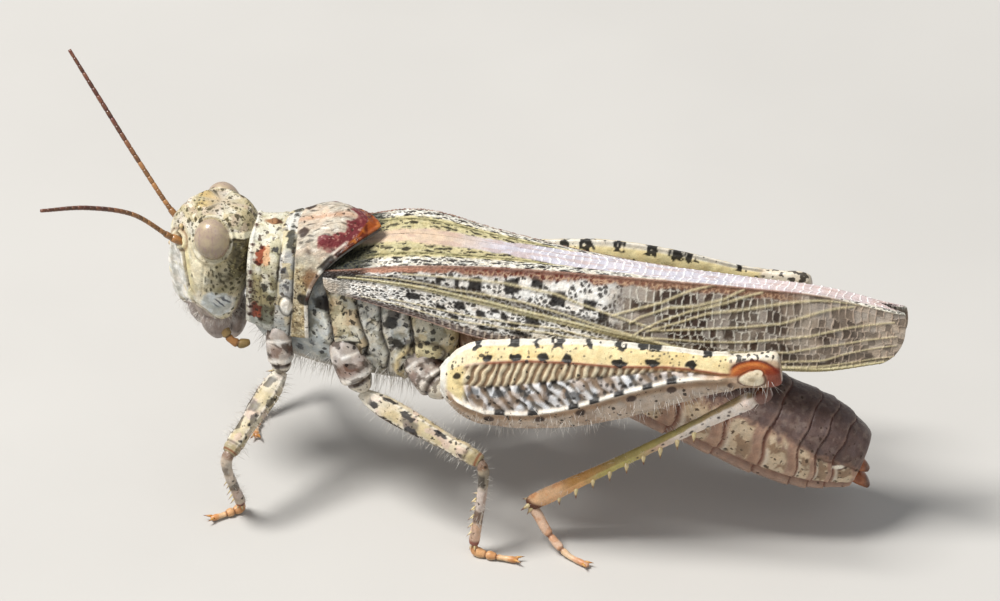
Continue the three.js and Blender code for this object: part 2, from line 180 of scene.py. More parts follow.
class Line:
    """A smooth line through points, measured from 0 to 1 by its own length."""

    def __init__(self, points, steps=48):
        p = np.array(points, float)
        p = np.vstack([2 * p[0] - p[1], p, 2 * p[-1] - p[-2]])
        gap = np.maximum(np.linalg.norm(np.diff(p, axis=0), axis=1), 1e-6) ** 0.5
        f = (np.arange(steps) / steps)[:, None]
        parts = []
        for i in range(1, len(p) - 2):
            before, here, after = gap[i - 1 : i + 2]
            chord = (p[i + 1] - p[i]) / here
            first = (p[i] - p[i - 1]) / before - (p[i + 1] - p[i - 1]) / (before + here)
            last = (p[i + 2] - p[i + 1]) / after - (p[i + 2] - p[i]) / (here + after)
            first = (first + chord) * here
            last = (last + chord) * here
            square = -3 * p[i] + 3 * p[i + 1] - 2 * first - last
            cube = 2 * p[i] - 2 * p[i + 1] + first + last
            parts.append(p[i] + first * f + square * f**2 + cube * f**3)
        self.p = np.vstack([*parts, p[-2]])
        run = np.linalg.norm(np.diff(self.p, axis=0), axis=1)
        self.length = run.sum()
        self.s = np.concatenate([[0], np.cumsum(run)]) / self.length

    def at(self, s):
        return np.stack([np.interp(s, self.s, self.p[:, k]) for k in range(3)], -1)

    def way(self, s):
        s = np.clip(s, 0.004, 0.996)
        ahead = self.at(s + 0.004) - self.at(s - 0.004)
        return ahead / np.linalg.norm(ahead, axis=-1, keepdims=True)


def unit(vector):
    return vector / np.maximum(np.linalg.norm(vector, axis=-1, keepdims=True), 1e-9)


def rounded(value, power):
    """Signed power, for sections between a circle and a box."""
    return np.sign(value) * np.abs(value) ** power


def swell(t, sharpness):
    """Share of the full section at t, when both tips are rounded off and close."""
    s = 2 * np.asarray(t) - 1
    return (1 - np.abs(s) ** sharpness) ** (1 / sharpness)


def tube(line, T, A, side, wide, up, down=None, share=None, box=2.0, span=(0, 1)):
    """Points of oval sections along a line: wide is the half width along side, up and
    down are the half heights across it."""
    s = span[0] + (span[1] - span[0]) * T
    way = line.way(s)
    side = np.array(side, float)
    across = unit(side - way * (way @ side)[..., None])
    above = np.cross(way, across)
    c, v = np.cos(A), np.sin(A)
    height = np.where(v > 0, along(up, T), along(down if down is not None else up, T))
    share = 1.0 if share is None else share
    out = rounded(c, 2 / box) * along(wide, T) * share
    lift = rounded(v, 2 / box) * height * share
    return line.at(s) + across * out[..., None] + above * lift[..., None]


# ---- skins ----------------------------------------------------------------------------


def pick_none():
    for obj in bpy.context.selected_objects:
        obj.select_set(False)


def newest(name):
    obj = bpy.context.object
    obj.name = name
    obj.data.name = name
    return obj


def read_points(mesh):
    flat = np.empty(len(mesh.vertices) * 3)
    mesh.vertices.foreach_get("co", flat)
    return flat.reshape(-1, 3)


def write_points(mesh, points):
    mesh.vertices.foreach_set("co", np.ascontiguousarray(points, np.float32).ravel())
    mesh.update()


def write_value(mesh, name, values):
    layer = mesh.attributes.new(name, "FLOAT", "POINT")
    layer.data.foreach_set("value", np.ascontiguousarray(values, np.float32).ravel())


def write_tint(mesh, colours):
    layer = mesh.attributes.new("tint", "FLOAT_COLOR", "POINT")
    full = np.ones((len(colours), 4), np.float32)
    full[:, :3] = np.clip(colours, 0, 1)
    layer.data.foreach_set("color", full.ravel())


def in_frame(points):
    """From millimetres on the body's axes to metres in the frame."""
    return (points + BODY_ZERO) * MM


class Skin:
    """A closed skin laid out in rings from one tip to the other. It starts as a globe, and
    every point of the globe is moved to shape(t, angle)."""

    def __init__(self, around, rows, shape, crowd=0.8):
        q = 1 - np.arange(rows + 1) / rows
        self.around, self.rows = around, rows
        t = q - crowd * np.sin(2 * math.pi * q) / (2 * math.pi)
        angle = 2 * math.pi * np.arange(around) / around
        self.T, self.A = np.meshgrid(t, angle, indexing="ij")
        self.P = shape(self.T, self.A)
        self.home = self.P.copy()
        self.tint = np.zeros_like(self.P) + IVORY
        self.values = {"fleck": np.zeros(self.T.shape), "gloss": np.zeros(self.T.shape)}

    @property
    def x(self):
        return self.home[..., 0]

    @property
    def y(self):
        return self.home[..., 1]

    @property
    def z(self):
        return self.home[..., 2]

    def normals(self):
        down_rows = np.gradient(self.P, axis=0)
        round_ring = np.roll(self.P, -1, axis=1) - np.roll(self.P, 1, axis=1)
        return unit(np.cross(down_rows, round_ring))

    def lift(self, height):
        """Moves the skin outward by height, which fades at the two tips."""
        ends = np.minimum(np.arange(self.rows + 1), np.arange(self.rows, -1, -1))
        fade = rise(ends, 0, 4)[:, None]
        self.P = self.P + self.normals() * (height * fade)[..., None]

    def wash(self, mask, colour):
        """Lays a colour, or the tone of six hex digits, over the skin where mask allows."""
        colour = tone(colour) if isinstance(colour, str) else colour
        mask = np.clip(mask, 0, 1)[..., None]
        self.tint = self.tint * (1 - mask) + colour * mask

    def mottle(self, share, place, size, seed, low, high, colour):
        """Lays a colour in ragged patches, where noise of this size runs past low."""
        self.wash(share * rise(noise(place, size, seed), low, high), colour)

    # Darkens the colours by a factor: painted shade, used on the inner faces.
    def shade(self, factor):
        self.tint = self.tint * np.asarray(factor)[..., None]

    def make(self, name, material):
        pick_none()
        bpy.ops.mesh.primitive_uv_sphere_add(segments=self.around, ring_count=self.rows)
        obj = newest(name)
        co = read_points(obj.data)
        polar = np.arctan2(np.hypot(co[:, 0], co[:, 1]), co[:, 2])
        row = np.rint(polar / math.pi * self.rows).astype(int)
        turn = np.arctan2(co[:, 1], co[:, 0]) / (2 * math.pi)
        col = np.rint(turn * self.around).astype(int) % self.around
        write_points(obj.data, in_frame(self.P[row, col]))
        write_tint(obj.data, self.tint[row, col])
        for layer, values in self.values.items():
            write_value(obj.data, layer, values[row, col])
        obj.data.shade_smooth()
        obj.data.materials.append(material)
        return obj


def tube_skin(around, rows, line, side, wide, up, down=None, tips=8, box=2.0, crowd=0.8):
    """A skin of oval sections along a line, with both its tips rounded off."""

    def shape(T, A):
        return tube(line, T, A, side, wide, up, down, swell(T, tips), box)

    return Skin(around, rows, shape, crowd)


def new_piece(name, points, faces, material):
    """A piece made of points in millimetres and the faces between them."""
    mesh = bpy.data.meshes.new(name)
    mesh.from_pydata(in_frame(points), [], faces)
    mesh.shade_smooth()
    mesh.materials.append(material)
    obj = bpy.data.objects.new(name, mesh)
    bpy.context.scene.collection.objects.link(obj)
    return obj


# ---- finishes -------------------------------------------------------------------------


def wire(tree, socket, value):
    if isinstance(value, bpy.types.NodeSocket):
        tree.links.new(value, socket)
    elif socket.type == "RGBA":
        socket.default_value = (*value[:3], 1)
    else:
        socket.default_value = value


def put(tree, kind, inputs=None, **settings):
    """A shader node with its settings, and its inputs joined or set."""
    node = tree.nodes.new("ShaderNode" + kind)
    for key, value in settings.items():
        setattr(node, key, value)
    for key, value in (inputs or {}).items():
        wire(tree, node.inputs[key], value)
    return node


def calc(tree, operation, a, b=0.0, clamp=False):
    node = put(tree, "Math", {0: a, 1: b}, operation=operation, use_clamp=clamp)
    return node.outputs[0]


def blend(tree, share, a, b, kind="MIX"):
    node = put(tree, "Mix", {0: share, 6: a, 7: b}, data_type="RGBA", blend_type=kind)
    return node.outputs[2]


def spread(tree, value, low, high, to_low=0.0, to_high=1.0):
    """The value taken smoothly from the range low to high into another range."""
    inputs = {"Value": value, 1: low, 2: high, 3: to_low, 4: to_high}
    return put(tree, "MapRange", inputs, interpolation_type="SMOOTHSTEP").outputs[0]


def grain(tree, place, scale, detail, distortion=0.0):
    inputs = {"Vector": place, "Scale": scale, "Detail": detail, "Distortion": distortion}
    return put(tree, "TexNoise", inputs).outputs["Fac"]


def lacquer(surface, weight, roughness):
    surface["Coat Weight"].default_value = weight
    surface["Coat Roughness"].default_value = roughness


def new_group(name, inputs, outputs):
    tree = bpy.data.node_groups.new(name, "ShaderNodeTree")
    for label, kind, value in inputs:
        socket = tree.interface.new_socket(label, in_out="INPUT", socket_type="NodeSocket" + kind)
        socket.default_value = value
    for label, kind in outputs:
        tree.interface.new_socket(label, in_out="OUTPUT", socket_type="NodeSocket" + kind)
    return tree, tree.nodes.new("NodeGroupInput").outputs, tree.nodes.new("NodeGroupOutput").inputs


def use_group(tree, group, inputs):
    node = tree.nodes.new("ShaderNodeGroup")
    node.node_tree = group
    for key, value in inputs.items():
        wire(tree, node.inputs[key], value)
    return node.outputs


def flecks_group():
    """Small dark spots of uneven size, strewn over the surface."""
    tree, given, out = new_group(
        "flecks",
        [
            ("Place", "Vector", (0, 0, 0)),
            ("Fineness", "Float", 3.0),
            ("Share", "Float", 0.5),
            ("Size", "Float", 0.3),
        ],
        [("Mask", "Float")],
    )
    ripple = put(tree, "TexNoise", {"Vector": given["Place"], "Scale": 7.0, "Detail": 2.0})
    shift = put(tree, "VectorMath", {0: ripple.outputs["Color"], 3: 0.16}, operation="SCALE")
    moved = put(tree, "VectorMath", {0: given["Place"], 1: shift.outputs[0]}, operation="ADD")
    spots = put(
        tree,
        "TexVoronoi",
        {"Vector": moved.outputs[0], "Scale": given["Fineness"], "Randomness": 1.0},
    )
    marks = put(tree, "SeparateColor", {0: spots.outputs["Color"]})
    chosen = calc(tree, "LESS_THAN", marks.outputs[0], given["Share"])
    size = calc(tree, "MULTIPLY", given["Size"], spread(tree, marks.outputs[1], 0, 1, 0.45, 1.3))
    inner = calc(tree, "SUBTRACT", size, 0.07)
    outer = calc(tree, "ADD", size, 0.07)
    disc = spread(tree, spots.outputs["Distance"], inner, outer, 1.0, 0.0)
    wire(tree, out["Mask"], calc(tree, "MULTIPLY", chosen, disc))
    return tree


def specks_group():
    """Fine dark specks of ragged outline, thicker where the share is higher."""
    tree, given, out = new_group(
        "specks",
        [("Place", "Vector", (0, 0, 0)), ("Fineness", "Float", 5.0), ("Share", "Float", 0.5)],
        [("Mask", "Float")],
    )
    lumps = grain(tree, given["Place"], given["Fineness"], 2.0, 0.6)
    level = calc(tree, "SUBTRACT", 0.72, calc(tree, "MULTIPLY", given["Share"], 0.2))
    mask = spread(tree, lumps, level, calc(tree, "ADD", level, 0.045))
    shown = spread(tree, given["Share"], 0.0, 0.06)
    wire(tree, out["Mask"], calc(tree, "MULTIPLY", mask, shown))
    return tree


def pores_group():
    """Height of a skin that is pitted and grained at two sizes."""
    tree, given, out = new_group(
        "pores",
        [("Place", "Vector", (0, 0, 0)), ("Fineness", "Float", 10.0), ("Pits", "Float", 0.5)],
        [("Height", "Float")],
    )
    pits = put(tree, "TexVoronoi", {"Vector": given["Place"], "Scale": given["Fineness"]})
    pits.feature = "SMOOTH_F1"
    rough_skin = grain(tree, given["Place"], given["Fineness"], 4.0)
    deep = calc(tree, "MULTIPLY", pits.outputs["Distance"], given["Pits"])
    wire(tree, out["Height"], calc(tree, "ADD", deep, rough_skin))
    return tree


def weather_group():
    """Gentle drift of a colour: lighter, darker and warmer in turn."""
    tree, given, out = new_group(
        "weather",
        [("Place", "Vector", (0, 0, 0)), ("Colour", "Color", (1, 1, 1, 1)), ("Amount", "Float", 0.2)],
        [("Colour", "Color")],
    )
    broad = put(tree, "TexNoise", {"Vector": given["Place"], "Scale": 2.2, "Detail": 5.0})
    fine = grain(tree, given["Place"], 16.0, 3.0)
    low = calc(tree, "SUBTRACT", 1.0, given["Amount"])
    high = calc(tree, "ADD", 1.0, given["Amount"])
    level = {"Value": broad.outputs["Fac"], 1: 0.3, 2: 0.7, 3: low, 4: high}
    level = put(tree, "MapRange", level).outputs[0]
    grit = spread(tree, fine, 0.3, 0.7, 0.9, 1.08)
    warm = put(tree, "SeparateColor", {0: broad.outputs["Color"]}).outputs[2]
    warmth = calc(tree, "MULTIPLY", given["Amount"], spread(tree, warm, 0.35, 0.65))
    washed = blend(tree, warmth, given["Colour"], (1.25, 0.9, 0.55), "MULTIPLY")
    scale = put(tree, "VectorMath", {0: washed, 3: calc(tree, "MULTIPLY", level, grit)})
    scale.operation = "SCALE"
    wire(tree, out["Colour"], scale.outputs[0])
    return tree


DULL = 0.2              # how strongly hard skin and wings mirror what is around them
FLECKS = flecks_group()
SPECKS = specks_group()
PORES = pores_group()
WEATHER = weather_group()


def new_material(name):
    material = bpy.data.materials.new(name)
    material.use_nodes = True
    tree = material.node_tree
    place = put(tree, "TexCoord").outputs["Object"]
    mm = put(tree, "VectorMath", {0: place, 3: 1 / MM}, operation="SCALE").outputs[0]
    return material, tree, tree.nodes["Principled BSDF"].inputs, mm


def layer(tree, name):
    return put(tree, "Attribute", attribute_name=name).outputs


def bumped(tree, height, depth_mm, strength=0.6):
    inputs = {"Height": height, "Distance": depth_mm * MM, "Strength": strength}
    return put(tree, "Bump", inputs).outputs[0]


def cuticle(
    name,
    ink=INK,
    fineness=3.4,
    size=0.32,
    roughness=(0.36, 0.6),
    coat=0.06,
    pore=11.0,
    depth=0.035,
    drift=0.16,
):
    """Hard skin: its painted colours, strewn with flecks as thick as its fleck layer says."""
    material, tree, surface, mm = new_material(name)
    painted = layer(tree, "tint")["Color"]
    share = layer(tree, "fleck")["Fac"]
    gloss = layer(tree, "gloss")["Fac"]
    base = use_group(tree, WEATHER, {"Place": mm, "Colour": painted, "Amount": drift})["Colour"]
    coarse = use_group(
        tree, FLECKS, {"Place": mm, "Fineness": fineness, "Share": share, "Size": size}
    )["Mask"]
    specks = {"Place": mm, "Fineness": fineness * 1.5, "Share": share}
    fine = use_group(tree, SPECKS, specks)["Mask"]
    base = blend(tree, calc(tree, "MULTIPLY", fine, 0.78), base, ink)
    base = blend(tree, calc(tree, "MULTIPLY", coarse, 0.85), base, ink)
    wire(tree, surface["Base Color"], base)
    height = use_group(tree, PORES, {"Place": mm, "Fineness": pore, "Pits": 0.7})["Height"]
    worn = spread(tree, height, 0.4, 1.1, roughness[0], roughness[1])
    wire(tree, surface["Roughness"], calc(tree, "SUBTRACT", worn, gloss, clamp=True))
    wire(tree, surface["Normal"], bumped(tree, height, depth))
    surface["Specular IOR Level"].default_value = DULL
    lacquer(surface, coat, 0.25)
    return material


def eye_finish():
    """Compound eye: pinkish grey-brown, paler above and darker at its foot, faintly streaked, finely
    faceted. The paler top and darker foot are partly its own colour and partly painted light from above
    and painted shade below.
    """
    material, tree, surface, mm = new_material("eye_shell")
    height = put(tree, "SeparateXYZ", {0: mm}).outputs[2]
    # paler above and darker at the foot: partly the eye's own colour, partly painted light from above and
    # painted shade below
    up = spread(tree, height, 13.6, 15.3)
    body = blend(tree, up, tone("7f6d50"), tone("ae9a84"))
    low = spread(tree, height, 13.5, 14.1, 0.7, 0.0)
    body = blend(tree, low, body, tone("5e4e3c"))
    stretched = put(tree, "VectorMath", {0: mm, 1: (1.6, 1.6, 0.3)}, operation="MULTIPLY")
    streak = grain(tree, stretched.outputs[0], 5.5, 4.0)
    body = blend(tree, spread(tree, streak, 0.48, 0.66, 0, 0.5), body, tone("94797a"))
    cloud = grain(tree, mm, 2.0, 3.0)
    body = blend(tree, spread(tree, cloud, 0.45, 0.66, 0, 0.5), body, tone("c4b48c"))
    wire(tree, surface["Base Color"], body)
    facets = put(tree, "TexVoronoi", {"Vector": mm, "Scale": 32.0, "Randomness": 0.25})
    wire(tree, surface["Normal"], bumped(tree, facets.outputs["Distance"], 0.008, 0.35))
    wire(tree, surface["Roughness"], spread(tree, cloud, 0.3, 0.7, 0.24, 0.36))
    lacquer(surface, 0.5, 0.12)
    return material


def horn_finish(name, dark, light, roughness=(0.25, 0.45), coat=0.3):
    """Smooth horn: spines, claws, feelers and valves, with the painted tint over it."""
    material, tree, surface, mm = new_material(name)
    painted = layer(tree, "tint")["Color"]
    mottled = blend(tree, spread(tree, grain(tree, mm, 4.5, 5.0), 0.35, 0.65), dark, light)
    wire(tree, surface["Base Color"], blend(tree, 0.3, painted, mottled))
    fibres = grain(tree, mm, 24.0, 3.0)
    wire(tree, surface["Normal"], bumped(tree, fibres, 0.012))
    wire(tree, surface["Roughness"], spread(tree, fibres, 0.3, 0.7, *roughness))
    lacquer(surface, coat, 0.15)
    return material


def wing_finish():
    """Leathery forewing: painted cells and veins, with the fine crinkle of the skin."""
    material, tree, surface, mm = new_material("wing_leather")
    painted = layer(tree, "tint")["Color"]
    vein = layer(tree, "gloss")["Fac"]
    base = use_group(tree, WEATHER, {"Place": mm, "Colour": painted, "Amount": 0.12})["Colour"]
    wire(tree, surface["Base Color"], base)
    crinkle = grain(tree, mm, 14.0, 5.0)
    net = put(tree, "TexVoronoi", {"Vector": mm, "Scale": 7.0}, feature="DISTANCE_TO_EDGE")
    height = calc(tree, "ADD", crinkle, spread(tree, net.outputs["Distance"], 0, 0.12))
    wire(tree, surface["Normal"], bumped(tree, height, 0.018, 0.5))
    worn = spread(tree, crinkle, 0.3, 0.7, 0.34, 0.52)
    wire(tree, surface["Roughness"], calc(tree, "SUBTRACT", worn, calc(tree, "MULTIPLY", vein, 0.08)))
    surface["Specular IOR Level"].default_value = DULL
    lacquer(surface, 0.06, 0.3)
    return material


def hair_finish():
    """Fine pale hairs, a little darker here and there."""
    material, tree, surface, mm = new_material("hair")
    drift = grain(tree, mm, 1.6, 2.0)
    body = blend(tree, spread(tree, drift, 0.35, 0.65), tone("c0b8ae"), tone("f0ece4"))
    wire(tree, surface["Base Color"], body)
    wire(tree, surface["Roughness"], spread(tree, drift, 0.3, 0.7, 0.4, 0.6))
    return material


def floor_finish():
    """A pale matt floor."""
    material, tree, surface, mm = new_material("floor")
    drift = grain(tree, mm, 0.05, 3.0)
    body = blend(tree, spread(tree, drift, 0.3, 0.7), tone("bfbcb7"), tone("c3c0bb"))
    wire(tree, surface["Base Color"], body)
    surface["Roughness"].default_value = 0.9
    return material


HEAD_SKIN = cuticle("head_skin", ink=DARK_OLIVE, fineness=4.2, size=0.34, depth=0.03)
BACK_PLATE = cuticle("back_plate", ink=UMBER, fineness=3.2, size=0.26, pore=13.0, depth=0.05)
BODY_SKIN = cuticle("body_skin", ink=INK, fineness=2.6, size=0.3, depth=0.04)
BELLY_RINGS = cuticle("belly_rings", ink=UMBER, fineness=2.8, size=0.2, roughness=(0.42, 0.62))
LEG_SKIN = cuticle("leg_skin", ink=INK, fineness=3.4, size=0.28, depth=0.02, pore=16.0)
SHANK_HORN = cuticle("shank_horn", ink=UMBER, fineness=3.2, size=0.24, depth=0.015, coat=0.25)
MOUTH_SKIN = cuticle("mouth_skin", ink=UMBER, fineness=5.0, size=0.2, roughness=(0.3, 0.5))
EYE_SHELL = eye_finish()
FEELER_HORN = horn_finish("feeler_horn", tone("4a2a1c"), tone("8f6a44"))
SPINE_HORN = horn_finish("spine_horn", tone("8a4a20"), tone("d8b878"))
VALVE_HORN = horn_finish("valve_horn", tone("7a3c1c"), tone("b87848"))
WING_LEATHER = wing_finish()
HAIR = hair_finish()


# ---- head -----------------------------------------------------------------------------

HEAD_X = -14.4
HEAD_LINE = Line([(HEAD_X, 0, 9.1), (HEAD_X, 0, 13.4), (-14.05, 0, 15.92)])
HEAD_BOX = 2.3          # how far the head's sections are from round towards square
HEAD_WIDE = [1.5, 1.85, 2.05, 2.15, 2.15, 2.05, 1.8, 1.35]
HEAD_FRONT = [1.65, 2.05, 2.25, 2.36, 2.34, 2.2, 1.85, 1.2]
HEAD_REAR = [1.2, 1.5, 1.68, 1.8, 1.94, 2.0, 2.05, 1.65]
EYE_CENTRE = np.array([-14.28, 1.62, 14.7])
EYE_RADII = np.array([0.9, 0.8, 1.14])
EYE_LEAN = -0.12


def head_shape(T, A):
    """The head from mouth to crown: rounded behind, and drawn in to a narrow face in front."""
    share = swell(T, 8.5)
    p = tube(HEAD_LINE, T, A, (0, 1, 0), HEAD_WIDE, HEAD_FRONT, HEAD_REAR, share, HEAD_BOX)
    r = np.abs(np.cos(A)) ** (2 / HEAD_BOX)
    face = 0.62 * (1 - r**HEAD_BOX) ** (1 / HEAD_BOX) + 0.36 * hump(r, 0.42) * (1 - r**2)
    front = along(HEAD_FRONT, T) * share * face
    p[..., 0] = np.where(np.sin(A) > 0, HEAD_X - front, p[..., 0])
    return p


# The furrow beside the face, as (y, z), and the lower edge of the cheek, as (x, z).
FACE_FURROW = [(0.8, 14.05), (1.01, 13.75), (1.22, 13.12), (1.42, 12.56), (1.52, 12.1), (1.56, 11.6)]
JAW_EDGE = [
    (-16.9, 9.9),
    (-16.1, 9.95),
    (-15.7, 10.4),
    (-15.3, 10.85),
    (-14.9, 10.72),
    (-14.5, 10.4),
    (-13.85, 9.75),
    (-13.5, 9.85),
    (-13.15, 10.5),
    (-12.9, 11.3),
    (-12.4, 12.2),
]


def make_head():
    skin = Skin(320, 280, head_shape, crowd=0.7)
    x, y, z = skin.x, np.abs(skin.y), skin.z
    p = np.stack([x, y, z], -1)
    front = rise(-x, 15.0, 15.5)
    side = rise(y, 1.0, 1.4)

    # the face: a low ridge down the middle, a furrow on each side, a bead at its foot
    ridge_half = through([(9.5, 0.62), (12.0, 0.5), (13.5, 0.38), (14.8, 0.3)], z)
    face = rise(z, 9.9, 10.5) * fall(z, 14.7, 15.2) * front
    furrow = reach(y, z, FACE_FURROW)
    height = 0.1 * between(y, -1, ridge_half, 0.16) * face
    height += 0.05 * hump(y - ridge_half, 0.07) * face
    height -= 0.06 * hump(np.hypot(y, (z - 13.1) / 3), 0.16) * front
    height -= 0.17 * hump(furrow, 0.09) * front
    height += 0.09 * hump(reach(y + 0.24, z, FACE_FURROW), 0.1) * front
    height += 0.07 * hump(reach(y - 0.22, z, FACE_FURROW), 0.1) * front
    bead = oval(y, 1.62, 0.2, z, 11.3, 0.42)
    height += 0.12 * fall(bead, 0.4, 1.1) * front
    # feeler sockets
    socket = oval(y, 0.82, 0.34, z, 13.95, 0.38)
    height += front * (0.14 * hump(socket - 1.1, 0.25) + 0.05 * fall(socket, 0.6, 1.0))
    # raised rim round the eye
    eye = np.linalg.norm((p - EYE_CENTRE) / EYE_RADII, axis=-1)
    height += 0.06 * hump(eye - 1.15, 0.07) - 0.05 * hump(eye - 1.34, 0.09)
    # groove below the eye and the edge of the cheek
    groove = through([(10.4, -14.9), (12.0, -14.75), (13.6, -14.6)], z)
    height -= 0.05 * hump(x - groove, 0.08) * side * between(z, 11.2, 13.5, 0.3)
    jaw = through(JAW_EDGE, x) + 0.14 * (noise(p, 0.35, 2) - 0.5)
    height -= 0.05 * hump(z - jaw, 0.07)
    height -= 0.12 * fall(z - jaw, -0.6, 0.0)
    # the hollow on top between the eyes, its rims, and a low keel behind it
    top = rise(z, 15.2, 15.6)
    hollow = oval(x, -15.0, 0.75, y, 0, 0.62)
    height += top * (0.07 * hump(hollow - 1.0, 0.14) - 0.08 * fall(hollow, 0.4, 0.95))
    height += top * 0.03 * hump(y, 0.07) * rise(x, -14.4, -14.0)
    height += 0.05 * (rough(p, 0.5, 3) - 0.5) + 0.03 * (noise(p, 0.14, 9) - 0.5)
    height += 0.06 * hump(x + 12.72, 0.08) * side
    height += 0.05 * (noise(p * (1, 1, 0.3), 0.12, 10) - 0.5) * fall(z - jaw, -0.1, 0)
    skin.lift(height)

    # colours, from the broadest to the smallest
    q = wobble(p, 0.1, 0.35, 20)
    qx, qz = q[..., 0], q[..., 2]
    skin.wash(1, "cbc3a8")
    skin.wash(0.6 * rise(qz, 14.6, 15.3), "b8ad8c")
    skin.mottle(0.8, q, 0.5, 71, 0.55, 0.64, "e0dccc")
    skin.mottle(0.6, q, 0.6, 72, 0.58, 0.68, "a89b74")
    skin.wash(0.25 * rise(noise(q, 0.4, 79), 0.62, 0.7) * rise(z, 14.4, 14.9), "b49aa0")
    skin.wash(0.5 * rise(qx, -14.5, -13.7) * between(qz, 11.6, 14.5, 0.6), "98906c")
    white_edge = through([(11.6, 1.5), (12.1, 1.46), (13.1, 1.15), (14.0, 0.8)], z)
    white_face = rise(-(y - white_edge), 0.05, 0.15) * front * between(z, 9.9, 13.7, 0.3)
    skin.wash(0.95 * white_face, "f2f1ec")
    cream_spots = cells(q / (0.62, 0.62, 0.5), 78)
    cream_spot = fall(cream_spots[0], 0.3, 0.5)
    skin.wash(0.7 * cream_spot * (cream_spots[2] < 0.4) * fall(z, 14.6, 15.2), "e3dcbc")
    skin.mottle(0.5 * white_face, q, 0.3, 73, 0.52, 0.62, "b4b5ac")
    skin.wash(0.5 * white_face * hump(y - ridge_half, 0.07), "a09c8c")
    near_socket = oval(y, 1.15, 0.55, z, 13.75, 0.55)
    skin.wash(0.85 * fall(near_socket, 0.6, 1.1) * front, "e2dcc0")
    below_eye = oval(qx, -15.0, 0.5, qz, 12.9, 0.9)
    skin.wash(0.85 * fall(below_eye, 0.6, 1.15) * side, "e8e0c4")
    cheek_line = reach(y - 0.22, z, FACE_FURROW)
    skin.wash(0.8 * hump(cheek_line, 0.2) * front, "ddd3a4")
    skin.wash(0.9 * fall(bead, 0.7, 1.0) * front, "ddd6b4")
    skin.wash(0.95 * hump(furrow, 0.12) * front * (0.8 + 0.2 * noise(p, 0.3, 74)), "3c2a1c")
    skin.wash(0.6 * hump(bead - 1.15, 0.12) * front, "5b4a38")

    temple = rise(qx, -13.6, -13.2) * between(z, 12.5, 14.86, 0.1) * rise(y, 0.7, 1.1)
    skin.wash(0.9 * temple, "4d4630")
    skin.mottle(0.5 * temple, q, 0.16, 75, 0.5, 0.6, "8d845a")
    lower = between(oval(qx, -13.75, 0.9, qz, 12.5, 0.8), -1, 0.9, 0.5) * side
    skin.wash(0.6 * lower, "6f6a50")
    swirl = np.arctan2(z - 14.7, x + 14.28)
    dash = cells(np.stack([swirl * 13, eye * 3.0], -1), 41)
    lash = fall(dash[0], 0.24, 0.4) * (dash[2] < 0.75) * between(eye, 1.35, 3.0, 0.3) * side
    lash = lash * fall(z, 14.6, 15.0) * rise(x, -14.9, -14.4)
    skin.wash(0.9 * lash, "3f3a26")
    skin.wash(0.8 * fall(dash[0], 0.12, 0.24) * (dash[2] > 0.6) * temple, "b3aa80")
    slant = z + 0.31 * (x + 13.2) + 0.06 * (noise(p, 0.3, 70) - 0.5)
    bar = between(slant, 14.86, 15.15, 0.06) * rise(x, -13.5, -13.38) * rise(y, 0.5, 0.9)
    skin.wash(0.97 * bar, "efe9cc")
    skin.wash(0.9 * hump(slant - 14.8, 0.07) * rise(x, -13.4, -13.2) * side, UMBER)

    ochre = oval(qx, -14.85, 0.4, y, 0.42, 0.32)
    skin.wash(0.75 * fall(ochre, 0.7, 1.15) * top, "bca36c")
    skin.wash(0.7 * hump(socket - 1.5, 0.2) * front, "7c5430")
    spot_a = oval(qx, -13.65, 0.34, qz, 12.62, 0.34)
    skin.wash(0.7 * hump(spot_a - 0.6, 0.35) * side, "37321f")

    patch = oval(qx, -14.0, 0.85, qz, 10.95, 0.85)
    patch = fall(patch, 0.8, 1.1) * side * rise(z - jaw, -0.05, 0.15)
    skin.wash(0.9 * patch, "d2d8da")
    skin.mottle(0.6 * patch, q, 0.3, 76, 0.5, 0.62, "a6aca6")
    strokes = np.sin((0.8 * (x + 13.8) + 0.6 * (z - 10.9)) * 26 + 9 * noise(p, 0.35, 33))
    streaked = rise(strokes, 0.1, 0.6) * fall(oval(x, -13.7, 0.6, z, 11.15, 0.42), 0.6, 1.1)
    skin.wash(0.9 * streaked * side, "4e525a")
    arc = oval(x, -13.85, 0.55, z, 11.0, 0.9)
    arc = hump(arc - 1, 0.13) * rise(x, -13.65, -13.4)
    skin.wash(0.9 * arc * fall(z, 11.2, 11.5) * side, CHALK)

    mouth = fall(z - jaw, -0.2, 0.03)
    skin.wash(0.92 * mouth, "948880")
    skin.wash(0.6 * mouth * rise(noise(p * (1, 1, 0.3), 0.14, 77), 0.5, 0.7), "b8aca6")
    skin.wash(0.35 * hump(z - jaw, 0.05), UMBER)
    # pale rim round the eye: its own pale colour, made stronger on the upper side as painted light from
    # above
    skin.wash(0.75 * hump(eye - 1.12, 0.05) * (0.3 + 0.7 * rise(z, 13.9, 14.6)), "e2decb")
    ticks = rise(np.sin(swirl * 9 + 1), 0.5, 0.8)
    skin.wash(0.9 * hump(eye - 1.17, 0.09) * ticks * rise(z, 14.5, 14.9), "2c271b")

    knobs = cells(wobble(p, 0.07, 0.2, 60) / (0.3, 0.3, 0.4), 61)
    upper = rise(z, 13.9, 14.6) * (1 - bar)
    mark = fall(knobs[0], 0.26, 0.42) * (knobs[2] < 0.5)
    skin.wash(0.9 * mark * upper, "453f28")
    pale = fall(knobs[0], 0.25, 0.45) * (knobs[2] > 0.72)
    skin.wash(0.8 * pale * upper, "dedac4")
    rest = fall(knobs[0], 0.2, 0.34) * (knobs[2] < 0.1) * side * (1 - patch)
    skin.wash(0.8 * rest, "4b432c")
    flecks = 0.16 + 0.42 * rise(z, 14.2, 15.2) + 0.3 * side * rise(x, -14.3, -13.6)
    flecks = flecks * (1 - 0.75 * white_face) * (1 - 0.8 * patch)
    skin.values["fleck"] = flecks * (1 - mouth) * (1 - 0.8 * bar)
    return skin.make("head_skin", HEAD_SKIN), skin


